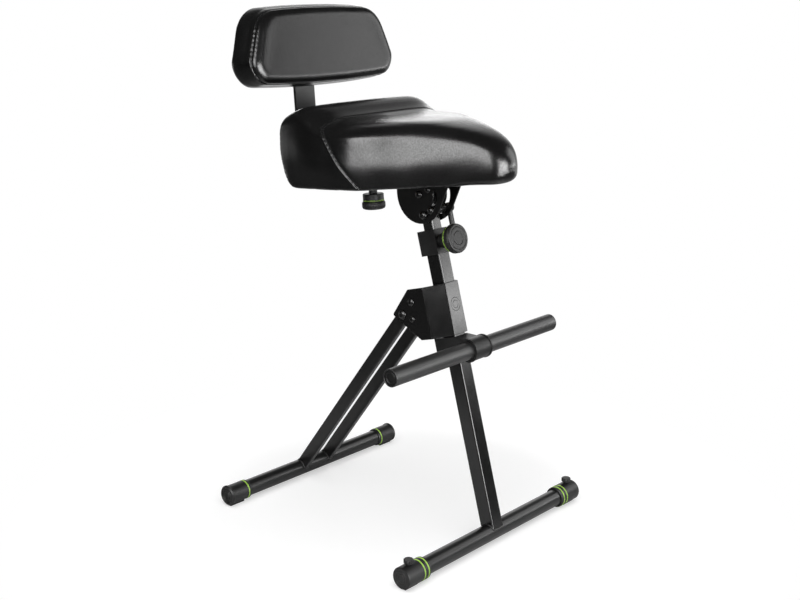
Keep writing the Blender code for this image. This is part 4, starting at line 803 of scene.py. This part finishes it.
def welds():
    """Beads where the post and the legs stand on their foot tubes."""
    put("post_weld", *weld_round(POST_FOOT, 0, 15 * MM, 15 * MM, POST_REAR, POST_UP, FOOT_TUBE),
        FINISH["black_steel"], "base", "black_steel")
    rear_tube = middle("rear_foot_tube")
    parts = []
    for word in ("right", "left"):
        low, high = (Vector(corner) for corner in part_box("rear_leg_" + word))
        parts.append(weld_round(rear_tube, (low.x + high.x) / 2, (high.x - low.x) / 2, 12.5 * MM,
                                LEG_REAR, LEG_UP, FOOT_TUBE))
    put("leg_welds", *joined(parts), FINISH["black_steel"], "rear_legs", "black_steel")


def hex_sockets():
    """Sockets in the domed heads, cut by hidden hexagons that move with each fastener's body."""
    heads = {"fold_pivot_bolt": "base", "leg_stop_bolt": "base", "bracket_tie_bolt": "base",
             "tilt_pivot_bolt": "seat_post", "tilt_stop_pin": "seat_post", "tilt_tie_pin": "seat"}
    for node, body in heads.items():
        place = middle(node)
        points = coordinates(NODES[node].data)
        for axis in (ACROSS, -ACROSS):
            along = (points - np.array(place)) @ np.array(axis)
            end = along.max()
            top = points[along > end - 0.6 * MM]
            rim = points[along > end - 4 * MM]
            dome = np.linalg.norm(rim[:, 1:] - np.array(place)[1:], axis=1).max()
            flat = np.linalg.norm(top[:, 1:] - np.array(place)[1:], axis=1).max()
            if flat > 0.8 * dome:
                continue
            size = 0.42 * dome
            verts, faces = [], []
            for depth in (end - 2.2 * MM, end + 1 * MM):
                for k in range(6):
                    turn = math.pi / 3 * k
                    verts.append(place + axis * depth + POST_UP * size * math.cos(turn) +
                                 POST_REAR * size * math.sin(turn))
            for k in range(6):
                faces.append((k, (k + 1) % 6, 6 + (k + 1) % 6, 6 + k))
            faces += [tuple(range(5, -1, -1)), tuple(range(6, 12))]
            word = "a" if axis.x > 0 else "b"
            cutter = put(f"{node}_socket_{word}", verts, faces, FINISH["black_bolt"], body, "black_bolt",
                         False)
            shape = bmesh.new()
            shape.from_mesh(cutter.data)
            bmesh.ops.recalc_face_normals(shape, faces=shape.faces)
            shape.to_mesh(cutter.data)
            shape.free()
            cutter.hide_render = True
            cutter.hide_viewport = True
            cut = NODES[node].modifiers.new("socket", "BOOLEAN")
            cut.operation = "DIFFERENCE"
            cut.object = cutter
            cut.solver = "EXACT"


def seat_screws():
    """Pan head screws that hold the tilt plates' flanges and the arm guide's wings on the seat board."""
    parts = []
    for node in ("tilt_plate_right", "tilt_plate_left"):
        points = coordinates(NODES[node].data) - np.array(SEAT_PLACE)
        side, rear, up = points[:, 0], points @ np.array(SEAT_REAR), points @ np.array(SEAT_UP)
        outer = side[np.argmax(np.abs(side))]
        flange = np.abs(side) > abs(outer) - 1 * MM
        under = up[flange].min()
        for share in (0.12, 0.5, 0.88):
            y = rear[flange].min() + (rear[flange].max() - rear[flange].min()) * share
            parts.append(pan_head(math.copysign(abs(outer) - 7 * MM, outer), y, under))
    points = coordinates(NODES["arm_guide"].data) - np.array(SEAT_PLACE)
    rear, up = points @ np.array(SEAT_REAR), points @ np.array(SEAT_UP)
    wing = np.abs(points[:, 0]) > np.abs(points[:, 0]).max() - 1 * MM
    for sign in (-1, 1):
        for share in (0.15, 0.85):
            y = rear.min() + (rear.max() - rear.min()) * share
            parts.append(pan_head(sign * (np.abs(points[:, 0]).max() - 7 * MM), y, up[wing].min()))
    put("seat_screws", *joined(parts), FINISH["black_bolt"], "seat", "black_bolt")


def pan_head(x, y, z):
    """Verts and faces of a screw's head that looks down at a place under the seat."""
    place = SEAT_PLACE + ACROSS * x + SEAT_REAR * y + SEAT_UP * z
    profile = [(4.2 * MM, -0.2 * MM), (4.2 * MM, 0.9 * MM), (3.6 * MM, 1.8 * MM), (2.2 * MM, 2.4 * MM),
               (1.5 * MM, 2.5 * MM), (1.3 * MM, 1.2 * MM), (0.01 * MM, 1.2 * MM)]
    return lathe(profile, place, -SEAT_UP, ACROSS, 24)


def trim():
    """All the small detail of the hard parts."""
    knob_grip("height_knob", POST_FOOT + POST_UP * KNOB_ABOVE_FOOT, -POST_REAR, ACROSS, 44, "height_knob")
    knob_grip("arm_knob", middle("arm_knob_ring"), -SEAT_UP, ACROSS, 40, "arm_knob")
    end_rings("front_cap_rings", cap_ends("front_cap", "front_cap_{}_ring_1"), (12 * MM, 7.5 * MM), "base",
              "black_plastic")
    end_rings("rear_cap_rings", cap_ends("rear_cap", "rear_cap_{}_ring"), (12 * MM, 7.5 * MM), "rear_legs",
              "black_plastic")
    end_rings("footrest_plug_rings", cap_ends("footrest_plug", "footrest_plug_{}"), (9 * MM,), "footrest",
              "black_plastic")
    front = reach("hinge_bracket", POST_FOOT, -POST_REAR)[1]
    web = POST_FOOT + POST_UP * WEB_RINGS_ABOVE_FOOT - POST_REAR * front
    rings = [ring_relief(web, -POST_REAR, ACROSS, radius, 0.5 * MM, 0.3 * MM) for radius in (12 * MM, 7 * MM)]
    put("bracket_rings", *joined(rings), FINISH["black_steel"], "base", "black_steel")
    welds()
    hex_sockets()
    seat_screws()


trim()


# Studio

BEHIND = Vector((0.738, 0.675, 0))  # where the photograph's background lies, seen from the stool
LAMPS = (  # name, place, target, width, height, power
    ("left", (-2.05, -0.72, 1.51), (-0.1, -0.1, 0.82), 2.0, 1.60, 93),
    ("front", (-0.08, -2.45, 0.68), (0, -0.2, 0.68), 1.7, 1.25, 110),
    ("front_right_low", (1.56, -1.51, 0.61), (0, -0.10, 0.50), 1.4, 0.22, 6),
    ("front_right", (1.94, -1.10, 1.27), (0, -0.05, 0.85), 1.4, 1.54, 17),
    ("behind", (2.30, 2.05, 1.11), (0, -0.1, 0.76), 2.2, 0.45, 6),
)
LAMP_ABOVE = ("above", (-0.5, -0.7, 3.0), (0, 0, 0), 4.0, 4.0, 150)
FLOOR_HALF = 40.0


def math_node(tree, operation, *sources):
    """The result of a sum in a material or world."""
    node = tree.nodes.new("ShaderNodeMath")
    node.operation = operation
    for place, source in enumerate(sources):
        tree.links.new(source, node.inputs[place])
    return node.outputs[0]


def ranged(tree, source, reach_from, reach_to, kind="LINEAR"):
    """A value mapped from one range to another."""
    node = tree.nodes.new("ShaderNodeMapRange")
    node.interpolation_type = kind
    node.inputs["From Min"].default_value, node.inputs["From Max"].default_value = reach_from
    node.inputs["To Min"].default_value, node.inputs["To Max"].default_value = reach_to
    tree.links.new(source, node.inputs["Value"])
    return node.outputs["Result"]


def background_share(tree, way, near, far):
    """One where a camera ray sees the background, and where a mirror ray or one through glass goes behind."""
    rays = tree.nodes.new("ShaderNodeLightPath").outputs
    dot = tree.nodes.new("ShaderNodeVectorMath")
    dot.operation = "DOT_PRODUCT"
    dot.inputs[1].default_value = BEHIND
    tree.links.new(way, dot.inputs[0])
    behind = ranged(tree, dot.outputs["Value"], (near, far), (0, 1), "SMOOTHSTEP")
    mirrored = math_node(tree, "MAXIMUM", rays["Is Glossy Ray"], rays["Is Transmission Ray"])
    seen = math_node(tree, "MULTIPLY", mirrored, behind)
    return math_node(tree, "MAXIMUM", rays["Is Camera Ray"], seen)


def floor_finish():
    """White floor: near the stool, lit white mixed with a painted glow of up to 1.6 times white that washes
    out the stool's broad shadow; further out, the colour of the background.
    """
    mat = bpy.data.materials.new("floor")
    mat.use_nodes = True
    tree = mat.node_tree
    nodes, links = tree.nodes, tree.links
    nodes.clear()
    out = nodes.new("ShaderNodeOutputMaterial")
    mix = nodes.new("ShaderNodeMixShader")
    lit = nodes.new("ShaderNodeBsdfDiffuse")
    white = nodes.new("ShaderNodeEmission")
    white.inputs["Color"].default_value = grey(1.0)
    place = nodes.new("ShaderNodeTexCoord").outputs["Object"]
    length = nodes.new("ShaderNodeVectorMath")
    length.operation = "LENGTH"
    links.new(place, length.inputs[0])
    apart = length.outputs["Value"]
    # painted light: the floor's glow is 1.6 near the stool and falls to 1.0 by 0.75 m, so the broad shadow
    # turns white and only contact shadows stay
    links.new(ranged(tree, apart, (0.35, 0.75), (1.6, 1.0)), white.inputs["Strength"])
    links.new(ranged(tree, apart, (0.5, 0.85), (0.80, 0.2)), lit.inputs["Color"])
    far = ranged(tree, apart, (0.35, 0.75), (0.34, 1.0))
    share = math_node(tree, "MULTIPLY", far, background_share(tree, place, 0.6, 1.6))
    links.new(share, mix.inputs["Fac"])
    links.new(lit.outputs["BSDF"], mix.inputs[1])
    links.new(white.outputs["Emission"], mix.inputs[2])
    links.new(mix.outputs["Shader"], out.inputs["Surface"])
    return mat


def room_light():
    """A dim room that is white behind the stool."""
    world = bpy.data.worlds.new("studio")
    bpy.context.scene.world = world
    world.use_nodes = True
    tree = world.node_tree
    nodes, links = tree.nodes, tree.links
    nodes.clear()
    out = nodes.new("ShaderNodeOutputWorld")
    mix = nodes.new("ShaderNodeMixShader")
    room = nodes.new("ShaderNodeBackground")
    room.inputs["Color"].default_value = grey(1.0)
    room.inputs["Strength"].default_value = 0.05
    white = nodes.new("ShaderNodeBackground")
    white.inputs["Color"].default_value = grey(1.0)
    white.inputs["Strength"].default_value = 1.0
    way = nodes.new("ShaderNodeTexCoord").outputs["Generated"]
    links.new(background_share(tree, way, 0.64, 0.97), mix.inputs["Fac"])
    links.new(room.outputs["Background"], mix.inputs[1])
    links.new(white.outputs["Background"], mix.inputs[2])
    links.new(mix.outputs["Shader"], out.inputs["Surface"])


def studio():
    """Floor, room and lamps."""
    half = FLOOR_HALF
    corners = [(-half, -half, 0), (half, -half, 0), (half, half, 0), (-half, half, 0)]
    mesh = bpy.data.meshes.new("floor")
    mesh.from_pydata(corners, [], [(0, 1, 2, 3)])
    mesh.materials.append(floor_finish())
    floor = bpy.data.objects.new("floor", mesh)
    bpy.context.scene.collection.objects.link(floor)
    room_light()
    for lamp in LAMPS:
        softbox(*lamp)
    above = softbox(*LAMP_ABOVE)
    above.visible_diffuse, above.visible_glossy = True, False


def softbox(name, place, target, width, height, power):
    """A lamp that shapes the gleams alone: only the one above lights the colours."""
    lamp = bpy.data.lights.new(name, "AREA")
    lamp.shape = "RECTANGLE"
    lamp.size = width
    lamp.size_y = height
    lamp.energy = power
    obj = bpy.data.objects.new(name, lamp)
    obj.location = place
    obj.rotation_euler = (Vector(target) - Vector(place)).to_track_quat("-Z", "Y").to_euler()
    obj.visible_camera = False
    obj.visible_diffuse = False
    bpy.context.scene.collection.objects.link(obj)
    return obj


def camera():
    """The photograph's view, worked out from its vanishing directions."""
    turn, down = math.radians(-47.545), math.radians(15.245)
    right = Vector((math.cos(turn), math.sin(turn), 0))
    back = Vector((math.sin(turn) * math.cos(down), -math.cos(turn) * math.cos(down), math.sin(down)))
    up = back.cross(right)
    lens = bpy.data.cameras.new("photo_view")
    lens.lens = 54.56
    lens.sensor_width = 36
    obj = bpy.data.objects.new("photo_view", lens)
    basis = Matrix((right, up, back)).transposed().to_4x4()
    basis.translation = Vector((-1.6185, -1.4848, 1.0144))
    obj.matrix_world = basis
    bpy.context.scene.collection.objects.link(obj)
    bpy.context.scene.camera = obj


studio()
camera()
bpy.context.scene.view_settings.view_transform = "Standard"
